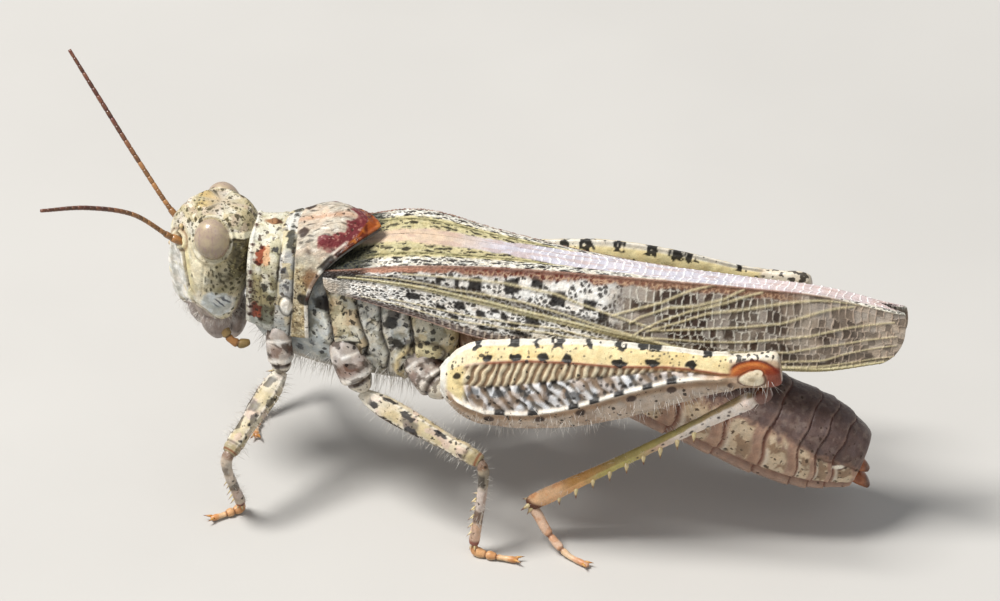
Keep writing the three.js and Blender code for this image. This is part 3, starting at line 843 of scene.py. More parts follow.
def make_eye(side):
    pick_none()
    bpy.ops.mesh.primitive_uv_sphere_add(
        segments=120,
        ring_count=84,
        location=in_frame(EYE_CENTRE * (1, side, 1)),
        rotation=(0, EYE_LEAN, 0),
        scale=EYE_RADII * MM,
    )
    eye = newest(f"eye_{SIDES[side]}_shell")
    bpy.ops.object.transform_apply(location=True, rotation=True, scale=True)
    eye.data.shade_smooth()
    eye.data.materials.append(EYE_SHELL)
    return eye


def copies(name, model, frames, scales, tints, material):
    """Many copies of one small mesh as one piece, each set on its own frame."""
    base = read_points(model.data)
    polygons = [list(face.vertices) for face in model.data.polygons]
    bpy.data.objects.remove(model)
    points, faces, colours = [], [], []
    for k, (origin, axes) in enumerate(frames):
        points.append(origin + (base * scales[k]) @ axes)
        faces.extend([[i + k * len(base) for i in polygon] for polygon in polygons])
        colours.append(np.broadcast_to(tints[k], base.shape))
    piece = new_piece(name, np.vstack(points), faces, material)
    write_tint(piece.data, np.vstack(colours))
    return piece


def set_on(way, side=(0, 0, 1)):
    """Rows of axes with the third along way."""
    way = unit(np.asarray(way, float))
    across = np.cross(side, way)
    if np.linalg.norm(across) < 1e-3:
        across = np.cross((1, 0, 0), way)
    across = unit(across)
    return np.stack([across, np.cross(way, across), way])


def bead():
    """One joint of a feeler: a short barrel, waisted at its foot."""
    pick_none()
    bpy.ops.mesh.primitive_cylinder_add(vertices=14, radius=1, depth=1, end_fill_type="TRIFAN")
    model = newest("feeler_joint")
    bpy.ops.object.mode_set(mode="EDIT")
    bpy.ops.mesh.select_all(action="SELECT")
    bpy.ops.mesh.bisect(plane_co=(0, 0, 0.3), plane_no=(0, 0, 1))
    bpy.ops.mesh.select_all(action="SELECT")
    bpy.ops.mesh.bisect(plane_co=(0, 0, -0.3), plane_no=(0, 0, 1))
    bpy.ops.object.mode_set(mode="OBJECT")
    co = read_points(model.data)
    rim = np.abs(co[:, 2]) > 0.45
    co[rim, :2] *= np.where(co[rim, 2] > 0, 0.93, 0.72)[:, None]
    write_points(model.data, co)
    return model


FEELERS = {
    LEFT: [
        (-15.95, -0.72, 13.72),
        (-16.55, -0.88, 14.1),
        (-18.2, -1.8, 15.9),
        (-20.2, -3.5, 17.3),
        (-22.12, -5.58, 18.38),
    ],
    RIGHT: [
        (-15.95, 0.72, 13.72),
        (-16.55, 0.88, 14.1),
        (-18.7, 2.4, 16.15),
        (-20.8, 3.95, 18.4),
        (-22.7, 5.3, 20.55),
    ],
}
FEELER_JOINTS = 25


def make_feeler(side):
    line = Line(FEELERS[side])
    lengths = np.interp(np.arange(FEELER_JOINTS), [0, 1, 2, 8, 24], [0.8, 0.4, 0.2, 0.34, 0.36])
    ends = np.concatenate([[0], np.cumsum(lengths)]) / lengths.sum()
    ends = -0.03 + 1.03 * ends
    frames, scales, tints = [], [], []
    for k in range(FEELER_JOINTS):
        middle = (ends[k] + ends[k + 1]) / 2
        long = (ends[k + 1] - ends[k]) * line.length * 1.06
        radius = through([(0, 0.22), (0.07, 0.19), (0.13, 0.125), (0.7, 0.12), (1, 0.09)], middle)
        frames.append((line.at(max(middle, 0.0)), set_on(line.way(middle))))
        scales.append(np.array([radius, radius, long]))
        share = rise(middle, 0.25, 0.6)
        body = tone("94683c") * (1 - share) + tone("5a2f26") * share
        tints.append(body * (1.45 if k % 3 == 0 else 1.0 if k % 2 else 0.7))
    model = bead()
    return copies(f"feeler_{SIDES[side]}", model, frames, scales, tints, FEELER_HORN)


def make_ocelli():
    """Three simple eyes: one on the ridge of the face and one by each feeler."""
    spots = [(-16.72, 0, 13.1), (-16.0, 0.78, 14.75), (-16.0, -0.78, 14.75)]
    pick_none()
    bpy.ops.mesh.primitive_uv_sphere_add(segments=20, ring_count=12, radius=1)
    model = newest("ocellus")
    frames = [(np.array(p), np.eye(3)) for p in spots]
    scales = [np.array([0.1, 0.13, 0.13])] * 3
    tints = [tone("c9b48a")] * 3
    return copies("ocelli", model, frames, scales, tints, SPINE_HORN)


def small_part(name, spine, wide, up, material, paint=None, rows=60, around=48, box=2.0):
    """A small closed body along a spine, rounded at both tips."""
    skin = tube_skin(around, rows, Line(spine), (0, 1, 0), wide, up, tips=4, box=box)
    skin.lift(0.03 * (noise(skin.home, 0.25, 12) - 0.5))
    if paint:
        paint(skin)
    return skin.make(name, material)


def mouth_paint(skin):
    q = wobble(skin.home, 0.1, 0.3, 8)
    skin.wash(1, "978b84")
    skin.wash(0.6 * noise(q, 0.5, 4), "b3a8a2")
    skin.wash(0.6 * rise(noise(q * (1, 1, 0.3), 0.14, 6), 0.5, 0.7), "766a66")
    skin.values["gloss"][:] = 0.06


def palp_paint(skin):
    necks = hump(skin.T - 0.36, 0.025) + hump(skin.T - 0.68, 0.025)
    skin.lift(-0.07 * necks)
    skin.wash(1, "86744a")
    skin.wash(0.7 * noise(skin.home, 0.4, 4), "a98a62")
    skin.wash(0.6 * between(skin.T, 0.36, 0.68, 0.06), "a0683c")
    skin.wash(0.8 * necks, "4a3424")
    skin.values["gloss"][:] = 0.12


def mirrored(points, side):
    """Points drawn for the left side, taken to the side that is asked for."""
    return [(x, -side * y, z) for x, y, z in points]


def make_mouth():
    made = {}
    made["labrum"] = small_part(
        "labrum_skin",
        [(-15.45, 0, 10.8), (-15.35, 0, 9.7), (-14.75, 0, 8.65)],
        [1.1, 1.15, 1.1, 0.8],
        [0.5, 0.42, 0.34, 0.24],
        MOUTH_SKIN,
        mouth_paint,
        rows=80,
        around=72,
        box=2.5,
    )
    made["labium"] = small_part(
        "labium_skin",
        [(-13.4, 0, 9.9), (-13.3, 0, 8.8), (-13.5, 0, 7.95)],
        [1.15, 1.15, 0.8],
        [0.45, 0.45, 0.32],
        MOUTH_SKIN,
        mouth_paint,
    )
    jaw = [(-14.3, -0.95, 10.2), (-14.2, -0.95, 9.1), (-14.1, -0.7, 8.3)]
    palp = [(-13.9, -1.3, 9.3), (-13.45, -1.6, 8.65), (-12.95, -1.65, 8.45), (-12.45, -1.5, 8.5)]
    for side, word in SIDES.items():
        made[f"mandible_{word}"] = small_part(
            f"mandible_{word}_skin",
            mirrored(jaw, side),
            [0.8, 0.78, 0.5],
            [1.0, 0.8, 0.45],
            MOUTH_SKIN,
            mouth_paint,
        )
        made[f"palp_{word}"] = small_part(
            f"palp_{word}_skin",
            mirrored(palp, side),
            [0.22, 0.26, 0.2, 0.26, 0.22],
            [0.22, 0.26, 0.2, 0.26, 0.22],
            MOUTH_SKIN,
            palp_paint,
            rows=50,
            around=28,
        )
    return made


# ---- pronotum -------------------------------------------------------------------------

SADDLE_FRONT = -12.42
SADDLE_REAR = -5.97
SADDLE_SIDE = -9.35
SADDLE_CREST = [15.0, 15.05, 15.5, 15.85, 15.3]
SADDLE_WAIST = 12.2
SADDLE_LOBE = 9.3
BELT_REACH = [(0, 1.35), (0.05, 1.3), (0.09, 0.85), (0.13, 0.85), (0.19, 1.15), (0.23, 1.6), (0.3, 1.2)]
SADDLE_BROAD = [1.85, 2.0, 2.2, 2.55, 2.8, 2.85]
SADDLE_LEAN = 0.2       # how far the front rim comes forward at the lobes
ARCH_SHARE = 0.62       # share of each half ring that is the arched back
APEX_SHARE = 0.66       # share of each half ring that the rear point takes
OUTER_SHARE = 0.9       # share of each ring that is the plate's outer face
# Spots ahead of the main groove: place along and up, half width and half height, tone.
FRONT_SPOTS = (
    (-11.8, 14.02, 0.34, 0.46, "8f3c1c"),
    (-11.5, 13.98, 0.22, 0.55, "d6ae88"),
    (-11.92, 14.36, 0.16, 0.14, "3c130c"),
    (-11.95, 13.66, 0.16, 0.14, "4a170e"),
    (-12.17, 10.95, 0.3, 0.5, "6b2a1e"),
    (-12.0, 10.5, 0.2, 0.24, "8c4630"),
    (-11.6, 12.25, 0.15, 0.24, "2c2820"),
    (-11.35, 11.7, 0.2, 0.2, "3c3a2a"),
    (-11.09, 14.39, 0.15, 0.14, "2a2c30"),
    (-10.61, 13.42, 0.2, 0.2, "43444c"),
    (-10.5, 12.5, 0.14, 0.14, "4c4c50"),
    (-10.9, 13.2, 0.1, 0.5, "5c5a4c"),
    (-10.35, 14.95, 0.22, 0.3, "34342f"),
    (-11.9, 14.7, 0.12, 0.1, "4d3a24"),
)


def saddle_rear(s):
    """Where the rear rim lies, from the middle (s = 0) out to the lobes (s = 1)."""
    apex = np.maximum(0, 1 - s / APEX_SHARE) ** 1.25
    return SADDLE_SIDE + (SADDLE_REAR - SADDLE_SIDE) * apex


def saddle(u, v):
    """The plate over the fore back: u runs from the front rim to the rear, v from the left
    lobe over the back to the right lobe."""
    s = np.abs(2 * v - 1)
    sign = np.where(v < 0.5, -1.0, 1.0)
    back = saddle_rear(s)
    x = SADDLE_FRONT - SADDLE_LEAN * s + u * (back - SADDLE_FRONT + SADDLE_LEAN * s)
    broad = along(SADDLE_BROAD, (x - SADDLE_FRONT) / (SADDLE_REAR - SADDLE_FRONT))
    low = SADDLE_LOBE + 0.7 * (1 - u) ** 2 + 0.3 * u**4
    top = along(SADDLE_CREST, u)
    turn = np.minimum(s / ARCH_SHARE, 1) * (math.pi / 2)
    ridge = 0.14 * hump(s, 0.08)
    arch_y = broad * np.sin(turn) ** 0.8
    cos_turn = np.maximum(np.cos(turn), 0)
    arch_z = SADDLE_WAIST + (top - ridge - SADDLE_WAIST) * cos_turn**0.7 + ridge
    drop = np.clip((s - ARCH_SHARE) / (1 - ARCH_SHARE), 0, 1)
    lobe_y = broad * (1 - 0.06 * drop**2)
    lobe_z = SADDLE_WAIST - (SADDLE_WAIST - low) * drop
    on_arch = s < ARCH_SHARE
    y = sign * np.where(on_arch, arch_y, lobe_y)
    z = np.where(on_arch, arch_z, lobe_z)
    return np.stack([x, y, z], -1)


def saddle_shape(T, A):
    """The outer face takes most of each ring, and the inner face the rest."""
    turn = A / (2 * math.pi)
    outside = turn <= OUTER_SHARE
    v = np.where(outside, 1 - turn / OUTER_SHARE, (turn - OUTER_SHARE) / (1 - OUTER_SHARE))
    p = saddle(T, v)
    core = np.stack([p[..., 0], 0 * T, np.minimum(p[..., 2] - 1, 11.5)], -1)
    p = p + unit(core - p) * np.where(outside, 0, 0.22)[..., None]
    p[T >= 0.99999] = (-9.8, 0, 12.9)
    p[T <= 0.00001] = (-11.2, 0, 12.9)
    return p


def make_pronotum():
    skin = Skin(420, 220, saddle_shape, crowd=0.6)
    turn = skin.A / (2 * math.pi)
    outer = turn <= OUTER_SHARE
    s = np.abs(1 - 2 * turn / OUTER_SHARE)
    x, z = skin.x, skin.z
    y = np.abs(skin.y)
    p = np.stack([x, y, z], -1)
    to_rear = saddle_rear(s) - x
    to_front = x + 12.35 + 0.2 * s
    first_cut = -11.0 + 0.18 * np.sin(s * 5)
    main_cut = -10.25 + 0.16 * np.sin(s * 4.2)
    behind = rise(x - main_cut, -0.05, 0.15)
    shoulder = hump(s - 0.4, 0.05) * behind

    height = -0.11 * hump(x - main_cut, 0.07) - 0.08 * hump(x - first_cut, 0.07)
    height -= 0.05 * hump(x + 11.75, 0.06) * rise(s, 0.3, 0.5)
    height += 0.07 * hump(to_front - 0.1, 0.1) + 0.05 * hump(to_rear - 0.1, 0.1)
    height += 0.09 * shoulder
    height += 0.07 * between(x, -12.0, -11.15, 0.3) * rise(s, 0.3, 0.55)
    height += 0.05 * (rough(p, 0.45, 14) - 0.5) * (0.5 + behind)
    height += 0.035 * (noise(p, 0.14, 15) - 0.5)
    tubercle = oval(x, -10.5, 0.32, z, 11.35, 0.52)
    height += 0.16 * fall(tubercle, 0.5, 1.05)
    height -= 0.1 * hump(np.hypot(x + 11.6, (z - 10.6) / 1.3), 0.4)
    skin.lift(height * outer)

    q = wobble(p, 0.1, 0.35, 25)
    qx, qy, qz = q[..., 0], q[..., 1], q[..., 2]
    qs = s + 0.05 * (noise(p, 0.5, 28) - 0.5) + 0.03 * (noise(p, 0.15, 29) - 0.5)
    disc = fall(qs, 0.36, 0.46)
    ahead = fall(x - first_cut, -0.05, 0.05)
    middle_band = (1 - behind) * (1 - ahead)
    grains = cells(p / (0.2, 0.14, 0.14), 80)
    grain_edge = fall(grains[1] - grains[0], 0.05, 0.3)

    # behind the main groove: tan and finely netted below, pale and wrinkled above
    skin.wash(1, "cbbd98")
    skin.mottle(0.7 * behind, q, 0.45, 81, 0.5, 0.62, "dbd3b8")
    skin.wash(0.6 * behind * (1 - disc) * grain_edge, "8a7450")
    skin.mottle(0.6 * behind * (1 - disc), p, 0.16, 93, 0.62, 0.72, "6d5a3e")
    skin.wash(0.6 * behind * hump(qs - 0.44, 0.05), "e0dccc")
    skin.wash(0.85 * disc * behind, "c4beb2")
    skin.wash(0.5 * disc * behind * rise(rough(q, 0.7, 30), 0.48, 0.6), "d2bba4")
    creases = rise(np.sin(y * 16 + 3 * noise(p, 0.5, 91) + x * 3), 0.55, 0.9)
    creases = creases * rise(noise(q, 0.4, 92), 0.4, 0.5)
    skin.wash(0.5 * disc * behind * creases, "7c7268")
    wrinkles = cells(wobble(p, 0.05, 0.2, 82) / (0.42, 0.13, 0.3), 83)
    wrinkle_edge = fall(wrinkles[1] - wrinkles[0], 0.05, 0.3)
    skin.wash(0.4 * disc * behind * wrinkle_edge, "8f857b")
    skin.wash(0.75 * disc * behind * (wrinkles[2] < 0.1) * (1 - wrinkle_edge), "2f2a26")
    skin.wash(0.5 * disc * behind * (wrinkles[2] > 0.75) * (1 - wrinkle_edge), "e3ded4")

    # front lobe and the band between the two grooves
    skin.wash(0.9 * ahead, "d3d0bd")
    skin.mottle(0.6 * ahead, q, 0.4, 84, 0.5, 0.62, "aaa47e")
    skin.mottle(0.6 * ahead, q, 0.35, 85, 0.58, 0.68, "e3e1d6")
    skin.wash(0.9 * middle_band, "b9bcbc")
    skin.mottle(0.85 * middle_band, q, 0.4, 86, 0.5, 0.58, "dedcd4")
    skin.wash(0.8 * middle_band * fall(noise(q, 0.55, 96), 0.38, 0.46), "c9bc96")
    skin.mottle(0.6 * middle_band, q, 0.3, 97, 0.62, 0.68, "77787c")
    skin.wash(0.6 * middle_band * rise(s, 0.12, 0.3) * fall(s, 0.3, 0.4), "cfc79e")
    skin.wash(0.8 * rise(qs, 0.84, 0.92) * (1 - behind), "a9aeac")
    skin.mottle(0.8 * ahead * between(qz, 10.7, 12.9, 0.5), q, 0.5, 35, 0.42, 0.52, "857a4f")
    skin.wash(0.85 * ahead * between(qz, 10.0, 11.2, 0.3) * rise(qx, -12.0, -11.8), "5c5c4a")
    ragged = 0.9 * (noise(p, 0.24, 94) - 0.5) + 0.5 * (noise(p, 0.1, 95) - 0.5)
    for cx, cz, rx, rz, code in FRONT_SPOTS:
        away = oval(qx, cx, rx, qz, cz, rz) + ragged
        skin.wash(0.93 * fall(away, 0.75, 1.1) * rise(y, 0.12, 0.3), code)
    bar = np.hypot((qx + 11.45) / 0.45, (s + 0.02 * (noise(p, 0.3, 90) - 0.5)) / 0.03)
    skin.wash(0.9 * fall(bar, 0.7, 1.2), "8a5828")
    skin.wash(0.9 * fall(bar, 0.7, 1.2) * rise(qx, -11.4, -11.25), "3a2418")
    small_spots = cells(q / 0.3, 87)
    spot = fall(small_spots[0], 0.2, 0.34) * (small_spots[2] < 0.22) * (1 - behind)
    skin.wash(0.8 * spot, "3a3426")
    beads = cells(np.stack([s * 24, to_front * 0], -1), 88)
    bead = fall(beads[0], 0.34, 0.46) * (beads[2] < 0.85)
    skin.wash(0.85 * hump(to_front - 0.08, 0.12), "e6e3d8")
    skin.wash(0.93 * bead * hump(to_front - 0.14, 0.13), "451b14")
    skin.wash(0.85 * hump(x - main_cut, 0.05) * rise(s, 0.1, 0.25), "2d241d")
    skin.wash(0.9 * hump(x - first_cut, 0.045) * between(s, 0.28, 0.62, 0.1), "2d241d")

    # the keel and the dark spot beside it
    keel = hump(s, 0.02) * behind * rise(to_rear, 0.9, 1.3)
    skin.wash(0.6 * keel, "c4987a")
    away = oval(qx, -9.72, 0.3, qy, 1.06, 0.28)
    skin.wash(0.93 * fall(away, 0.7, 1.1) * rise(z, 14.3, 14.7), "332420")
    skin.wash(0.85 * hump(np.hypot((qx + 9.4) / 1.5, (qs - 0.385) * 6), 0.16), "4b3a30")

    # maroon dusting in front of the glossy orange rear rim
    dust = rise(noise(p, 0.09, 51), 0.12, 0.34) * rise(rough(q, 0.9, 53), 0.12, 0.24)
    reach_in = through(BELT_REACH, s) + 0.5 * (noise(q, 0.35, 55) - 0.5)
    belt = between(to_rear, 0.25, reach_in, 0.16) * fall(qs, 0.27, 0.33)
    skin.wash(0.75 * belt, "a8685f")
    skin.wash(0.95 * belt * dust * (1 - 0.5 * keel), "6a232b")
    skin.mottle(0.35 * belt, p, 0.2, 54, 0.62, 0.75, "b8766c")
    rim_width = 0.2 + 0.4 * hump(y, 0.9)
    rim = fall(to_rear, rim_width, rim_width + 0.12) * fall(qs, 0.29, 0.34) * behind
    skin.wash(0.95 * rim, "8c4518")
    skin.mottle(0.85 * rim, q, 0.35, 57, 0.48, 0.6, "4c1a10")
    # lighter orange patches on the glossy rim: painted highlights
    skin.mottle(0.6 * rim, q, 0.3, 58, 0.58, 0.7, "b06c2c")
    skin.wash(0.9 * rim * rise(qs, 0.2, 0.27), "24140f")
    skin.wash(0.85 * hump(to_rear - rim_width - 0.14, 0.06) * between(qs, 0.2, 0.34, 0.04), "e6ddd0")
    skin.values["gloss"] = 0.35 * rim
    # the pale hind edge of the flank, with dark marks
    edge = fall(to_rear, 0.14, 0.24) * rise(qs, 0.3, 0.36)
    skin.wash(0.9 * edge, "e2e0d8")
    corner = fall(to_rear, 0.3, 0.42) * between(qs, 0.32, 0.43, 0.04)
    skin.wash(0.95 * corner, "1d1512")
    tan_patch = oval(qx, -9.1, 0.5, qz, 13.3, 0.7)
    skin.wash(0.8 * fall(tan_patch, 0.6, 1.2), "7a5230")
    black = oval(qx, -9.5, 0.42, qz, 12.0, 0.36)
    skin.wash(0.95 * fall(black, 0.75, 1.15), "120e0d")
    marks = cells(np.stack([s * 17, to_rear * 0], -1), 89)
    mark = fall(marks[0], 0.2, 0.36) * (marks[2] < 0.55) * rise(qs, 0.26, 0.34)
    skin.wash(0.85 * fall(to_rear, 0.1, 0.22) * mark, "3a1d14")
    skin.wash(0.97 * fall(tubercle, 0.8, 1.0), "e8e6de")
    skin.wash(0.8 * hump(tubercle - 1.18, 0.13), "4a463e")
    skin.values["fleck"] = (0.3 + 0.2 * ahead + 0.2 * rise(s, 0.45, 0.6)) * (
        rise(tubercle, 1.0, 1.2) * (1 - rim)
    )
    # the inner face, under the plate, is darkened as painted shade
    skin.shade(np.where(outer, 1.0, 0.35))
    return skin.make("pronotum_plate", BACK_PLATE)


# ---- chest ----------------------------------------------------------------------------

CHEST_LINE = Line([(-12.2, 0, 11.3), (-9.3, 0, 10.8), (-5.4, 0, 10.4), (-1.75, 0, 10.3)])
CHEST_WIDE = [1.05, 1.35, 1.6, 2.2, 2.55, 2.65, 2.7, 2.72, 2.7, 2.5]
CHEST_UP = [2.1, 2.3, 2.5, 2.6, 2.75, 2.9, 3.0, 2.95, 2.8, 2.6]
CHEST_DOWN = [2.7, 3.3, 3.7, 3.7, 3.6, 3.6, 3.6, 3.55, 3.45, 3.2]
SEAM_LOBE = [(-8.6, 12.6), (-8.15, 10.4), (-8.0, 8.6), (-8.2, 7.2)]
SEAM_SIDE = [(-7.0, 12.6), (-6.75, 11.4), (-6.26, 9.84), (-6.5, 8.9)]
SEAM_RINGS = [(-5.75, 12.6), (-5.55, 10.6), (-5.2, 9.4), (-5.5, 7.4)]
SEAM_HIND = [(-4.3, 12.6), (-3.95, 10.4), (-3.9, 9.5), (-4.7, 8.3)]
SEAMS = (SEAM_LOBE, SEAM_SIDE, SEAM_RINGS, SEAM_HIND)
# Black spots on the flank: middle and half size along, middle and half size up, and the
# distances between which the edge fades.
FLANK_SPOTS = (
    (-7.1, 1.5, 9.74, 1, 0.2, 0.3),
    (-5.1, 1, 11.3, 1.1, 0.3, 0.42),
    (-4.75, 1, 10.1, 1, 0.26, 0.38),
)


def reach(a, b, corners):
    """Distance from each place (a, b) to the broken line through the corners."""
    best = np.full(np.shape(a), 1e9)
    for (a0, b0), (a1, b1) in zip(corners, corners[1:]):
        da, db = a1 - a0, b1 - b0
        f = np.clip(((a - a0) * da + (b - b0) * db) / (da * da + db * db), 0, 1)
        best = np.minimum(best, np.hypot(a - a0 - f * da, b - b0 - f * db))
    return best


def past(x, z, seam, soft=0.08):
    """1 behind a seam that runs from top to bottom, 0 in front of it."""
    heights = sorted((b, a) for a, b in seam)
    line = through(heights, z)
    return rise(x - line, -soft, soft)


def make_chest():
    skin = tube_skin(
        300, 220, CHEST_LINE, (0, 1, 0), CHEST_WIDE, CHEST_UP, CHEST_DOWN, 12, box=2.35, crowd=0.5
    )
    x, y, z = skin.x, np.abs(skin.y), skin.z
    p = np.stack([x, y, z], -1)
    side = rise(y, 1.5, 2.1)
    height = 0.05 * (rough(p, 0.7, 4) - 0.5) + 0.03 * (noise(p, 0.16, 5) - 0.5)
    for seam in SEAMS:
        away = reach(x, z, seam)
        height -= 0.16 * hump(away, 0.08) * side
        height += 0.07 * hump(away - 0.2, 0.12) * side
    pit = np.hypot(x + 6.42, z - 9.35)
    height -= 0.2 * fall(pit, 0.08, 0.2) * side
    height += 0.06 * hump(pit - 0.26, 0.07) * side
    ridge = reach(x, z, [(-4.2, 9.9), (-4.75, 9.2), (-4.85, 8.3), (-4.5, 7.6)])
    height += 0.16 * hump(ridge, 0.14) * side
    plate = oval(x, -3.3, 0.8, z, 9.7, 0.55)
    height += 0.12 * fall(plate, 0.6, 1.1) * side
    height -= 0.3 * hump(oval(x, -3.2, 1.2, z, 8.5, 0.7), 0.8) * side
    hip = oval(x, -7.3, 1.2, z, 8.7, 0.9)
    height -= 0.12 * hump(hip - 1.0, 0.2) * side
    skin.lift(height)

    q = wobble(p, 0.12, 0.4, 25)
    qx, qz = q[..., 0], q[..., 2]
    behind_lobe, behind_side, behind_rings, behind_hind = (past(qx, qz, seam) for seam in SEAMS)
    skin.wash(1, "b4bbbc")
    skin.mottle(0.7, q, 0.6, 2, 0.5, 0.62, "d2d6d4")
    skin.wash(0.9 * behind_lobe, "d6caa8")
    skin.mottle(0.5 * behind_lobe, q, 0.5, 3, 0.52, 0.64, "b89a78")
    skin.wash(0.9 * behind_side, "dcddd8")
    skin.mottle(0.6 * behind_side, q, 0.7, 6, 0.5, 0.6, "a9b1b6")
    skin.mottle(0.4 * behind_side, q, 0.3, 7, 0.55, 0.7, "d8c9a2")
    skin.wash(0.85 * behind_hind, "cfc19a")
    jag = wobble(q, 0.08, 0.22, 94)
    spots = cells(jag / 0.85, 9)
    big = fall(spots[0], 0.3, 0.36) * (spots[2] < 0.55)
    skin.wash(0.93 * big * behind_side * (1 - behind_rings) * side, "26252a")
    skin.wash(0.75 * big * behind_rings * side, UMBER)
    skin.wash(0.8 * big * (1 - behind_lobe) * fall(z, 9.0, 9.5), "3c4048")
    smudge = rise(rough(jag, 0.7, 95), 0.56, 0.64) * side
    mottle = rise(rough(jag, 0.55, 96), 0.54, 0.6) * side
    skin.wash(0.6 * mottle * (1 - behind_hind), "706a4e")
    skin.wash(0.7 * fall(rough(jag, 0.5, 97), 0.4, 0.46) * side, "dfdfd4")
    skin.wash(0.7 * smudge * behind_lobe * (1 - behind_side), "7d6a4a")
    skin.wash(0.6 * smudge * behind_side, "70705e")
    for cx, rx, cz, rz, low, high in FLANK_SPOTS:
        skin.wash(0.92 * fall(oval(jag[..., 0], cx, rx, jag[..., 2], cz, rz), low, high) * side, INK)
    # black patch on the flank under the overhanging rear rim of the plate: painted shade
    under_rim = oval(jag[..., 0], -8.75, 0.55, jag[..., 2], 11.72, 0.4)
    skin.wash(0.94 * fall(under_rim, 0.7, 1.0) * side, "1a1412")
    skin.wash(0.95 * fall(pit, 0.1, 0.22) * side, CHALK)
    skin.wash(0.9 * hump(pit - 0.27, 0.07) * side, INK)
    skin.wash(0.85 * hump(ridge, 0.16) * side, "dccb9c")
    skin.wash(0.95 * fall(plate, 0.8, 1.05) * side, "e0d6ae")
    skin.wash(0.8 * hump(plate - 1.15, 0.14) * side, UMBER)
    # dark patch in the hollow above the hind hip: painted shade in the recess
    hollow = oval(qx, -3.2, 1.3, qz, 8.4, 0.8)
    skin.wash(0.9 * fall(hollow, 0.6, 1.1) * side, UMBER)
    for seam in SEAMS:
        skin.wash(0.92 * hump(reach(x, z, seam), 0.085) * side, "241a16")
    below = fall(z, 7.6, 8.3)
    skin.wash(0.7 * below, "a39a8e")
    skin.values["fleck"] = side * (0.5 + 0.2 * behind_lobe * (1 - behind_side))
    return skin.make("chest_skin", BODY_SKIN), skin


# ---- abdomen --------------------------------------------------------------------------

BELLY_LINE = Line(
    [
        (-1.9, 0, 9.9),
        (2.2, 0, 9.55),
        (6.0, 0, 8.65),
        (10.0, 0, 6.95),
        (13.8, 0, 5.25),
        (16.6, 0, 4.3),
        (18.35, 0, 3.6),
    ]
)
BELLY_WIDE = [2.6, 2.75, 2.7, 2.66, 2.62, 2.6, 2.57, 2.5, 2.3, 1.75]
BELLY_TALL = [2.65, 2.75, 2.7, 2.7, 2.65, 2.62, 2.62, 2.62, 2.48, 1.9]
RING_SHARES = [1.4, 1.4, 1.3, 1.3, 1.2, 1.02, 0.87, 0.44, 0.42, 0.65]


def make_belly():
    skin = tube_skin(220, 400, BELLY_LINE, (0, 1, 0), BELLY_WIDE, BELLY_TALL, crowd=0.3)
    T, A = skin.T, skin.A
    ends = np.concatenate([[0], np.cumsum(RING_SHARES)]) / sum(RING_SHARES)
    bend = 0.006 * np.sin(A * 3) + 0.004 * np.sin(A * 7 + 1)
    s = T + bend
    ring = np.clip(np.searchsorted(ends, s) - 1, 0, len(RING_SHARES) - 1)
    along_ring = np.clip((s - ends[ring]) / (ends[ring + 1] - ends[ring]), 0, 1)
    height = 0.07 * along_ring**1.5 - 0.08 * hump(along_ring, 0.06)
    p = skin.home
    height += 0.03 * (noise(p, 0.2, 8) - 0.5) + 0.05 * (rough(p, 0.8, 9) - 0.5)
    up = np.sin(A)
    # the fold between the back plates and the belly plates
    fold = up + 0.45
    height -= 0.18 * hump(fold, 0.09)
    height += 0.05 * hump(np.abs(fold) - 0.16, 0.06)
    # the small breathing pores along the flank
    pore = np.hypot((along_ring - 0.22) * 1.9, (fold - 0.17) * 2.6)
    height -= 0.08 * fall(pore, 0.06, 0.14) - 0.04 * hump(pore - 0.18, 0.05)
    skin.lift(height)

    q = wobble(p, 0.15, 0.5, 12)
    ragged = up + 0.25 * (noise(q, 0.5, 15) - 0.5) + 0.12 * (noise(q, 0.18, 16) - 0.5)
    skin.wash(1, "a58674")
    skin.mottle(0.6, q, 0.5, 13, 0.5, 0.65, "b89c88")
    skin.wash(0.6 * fall(up, -0.5, -0.3), "b0988a")
    dark_edge = through([(0, 0.55), (0.7, 0.52), (0.85, 0.38), (1, 0.28)], T)
    patch = between(along_ring, 0.14, 0.72, 0.12) * between(ragged, -0.36, dark_edge - 0.05, 0.12)
    skin.wash(0.8 * patch * rise(T, 0.3, 0.4), "d3c2a6")
    skin.wash(0.7 * patch * rise(rough(q, 0.5, 17), 0.52, 0.6), "7b5c44")
    skin.wash(0.7 * hump(along_ring - 0.16, 0.05) * between(up, -0.4, 0.15, 0.1), "e0d6c6")
    dark_back = rise(ragged - dark_edge, -0.08, 0.08)
    skin.wash(0.92 * dark_back, "564644")
    skin.mottle(0.5 * dark_back, q, 0.4, 18, 0.5, 0.66, "6f5f5c")
    skin.wash(0.4 * dark_back * rise(rough(p, 0.3, 19), 0.56, 0.66), "8a7a70")
    skin.wash(0.5 * hump(along_ring - 0.95, 0.05) * (1 - 0.7 * dark_back), "b99a84")
    skin.wash(0.8 * hump(ragged - dark_edge + 0.06, 0.05) * rise(T, 0.86, 0.9), "43241e")
    skin.wash(0.9 * hump(along_ring, 0.055) * (1 - 0.4 * dark_back), "6a3220")
    skin.wash(0.7 * hump(fold, 0.1), "7a5a4c")
    skin.wash(0.9 * fall(pore, 0.05, 0.12), INK)
    up_spot = skin.z - 4.4
    pale_spot = np.hypot((skin.x - 17.4 + 0.4 * up_spot) / 0.32, up_spot / 0.13)
    skin.wash(0.95 * fall(pale_spot, 0.7, 1.1) * rise(np.abs(skin.y), 0.9, 1.2), "f0e8d8")
    skin.values["fleck"] = 0.15 + 0.3 * patch + 0.1 * dark_back
    skin.values["gloss"] = 0.15 + 0 * up
    return skin.make("belly_skin", BELLY_RINGS), skin


# ---- forewings ------------------------------------------------------------------------

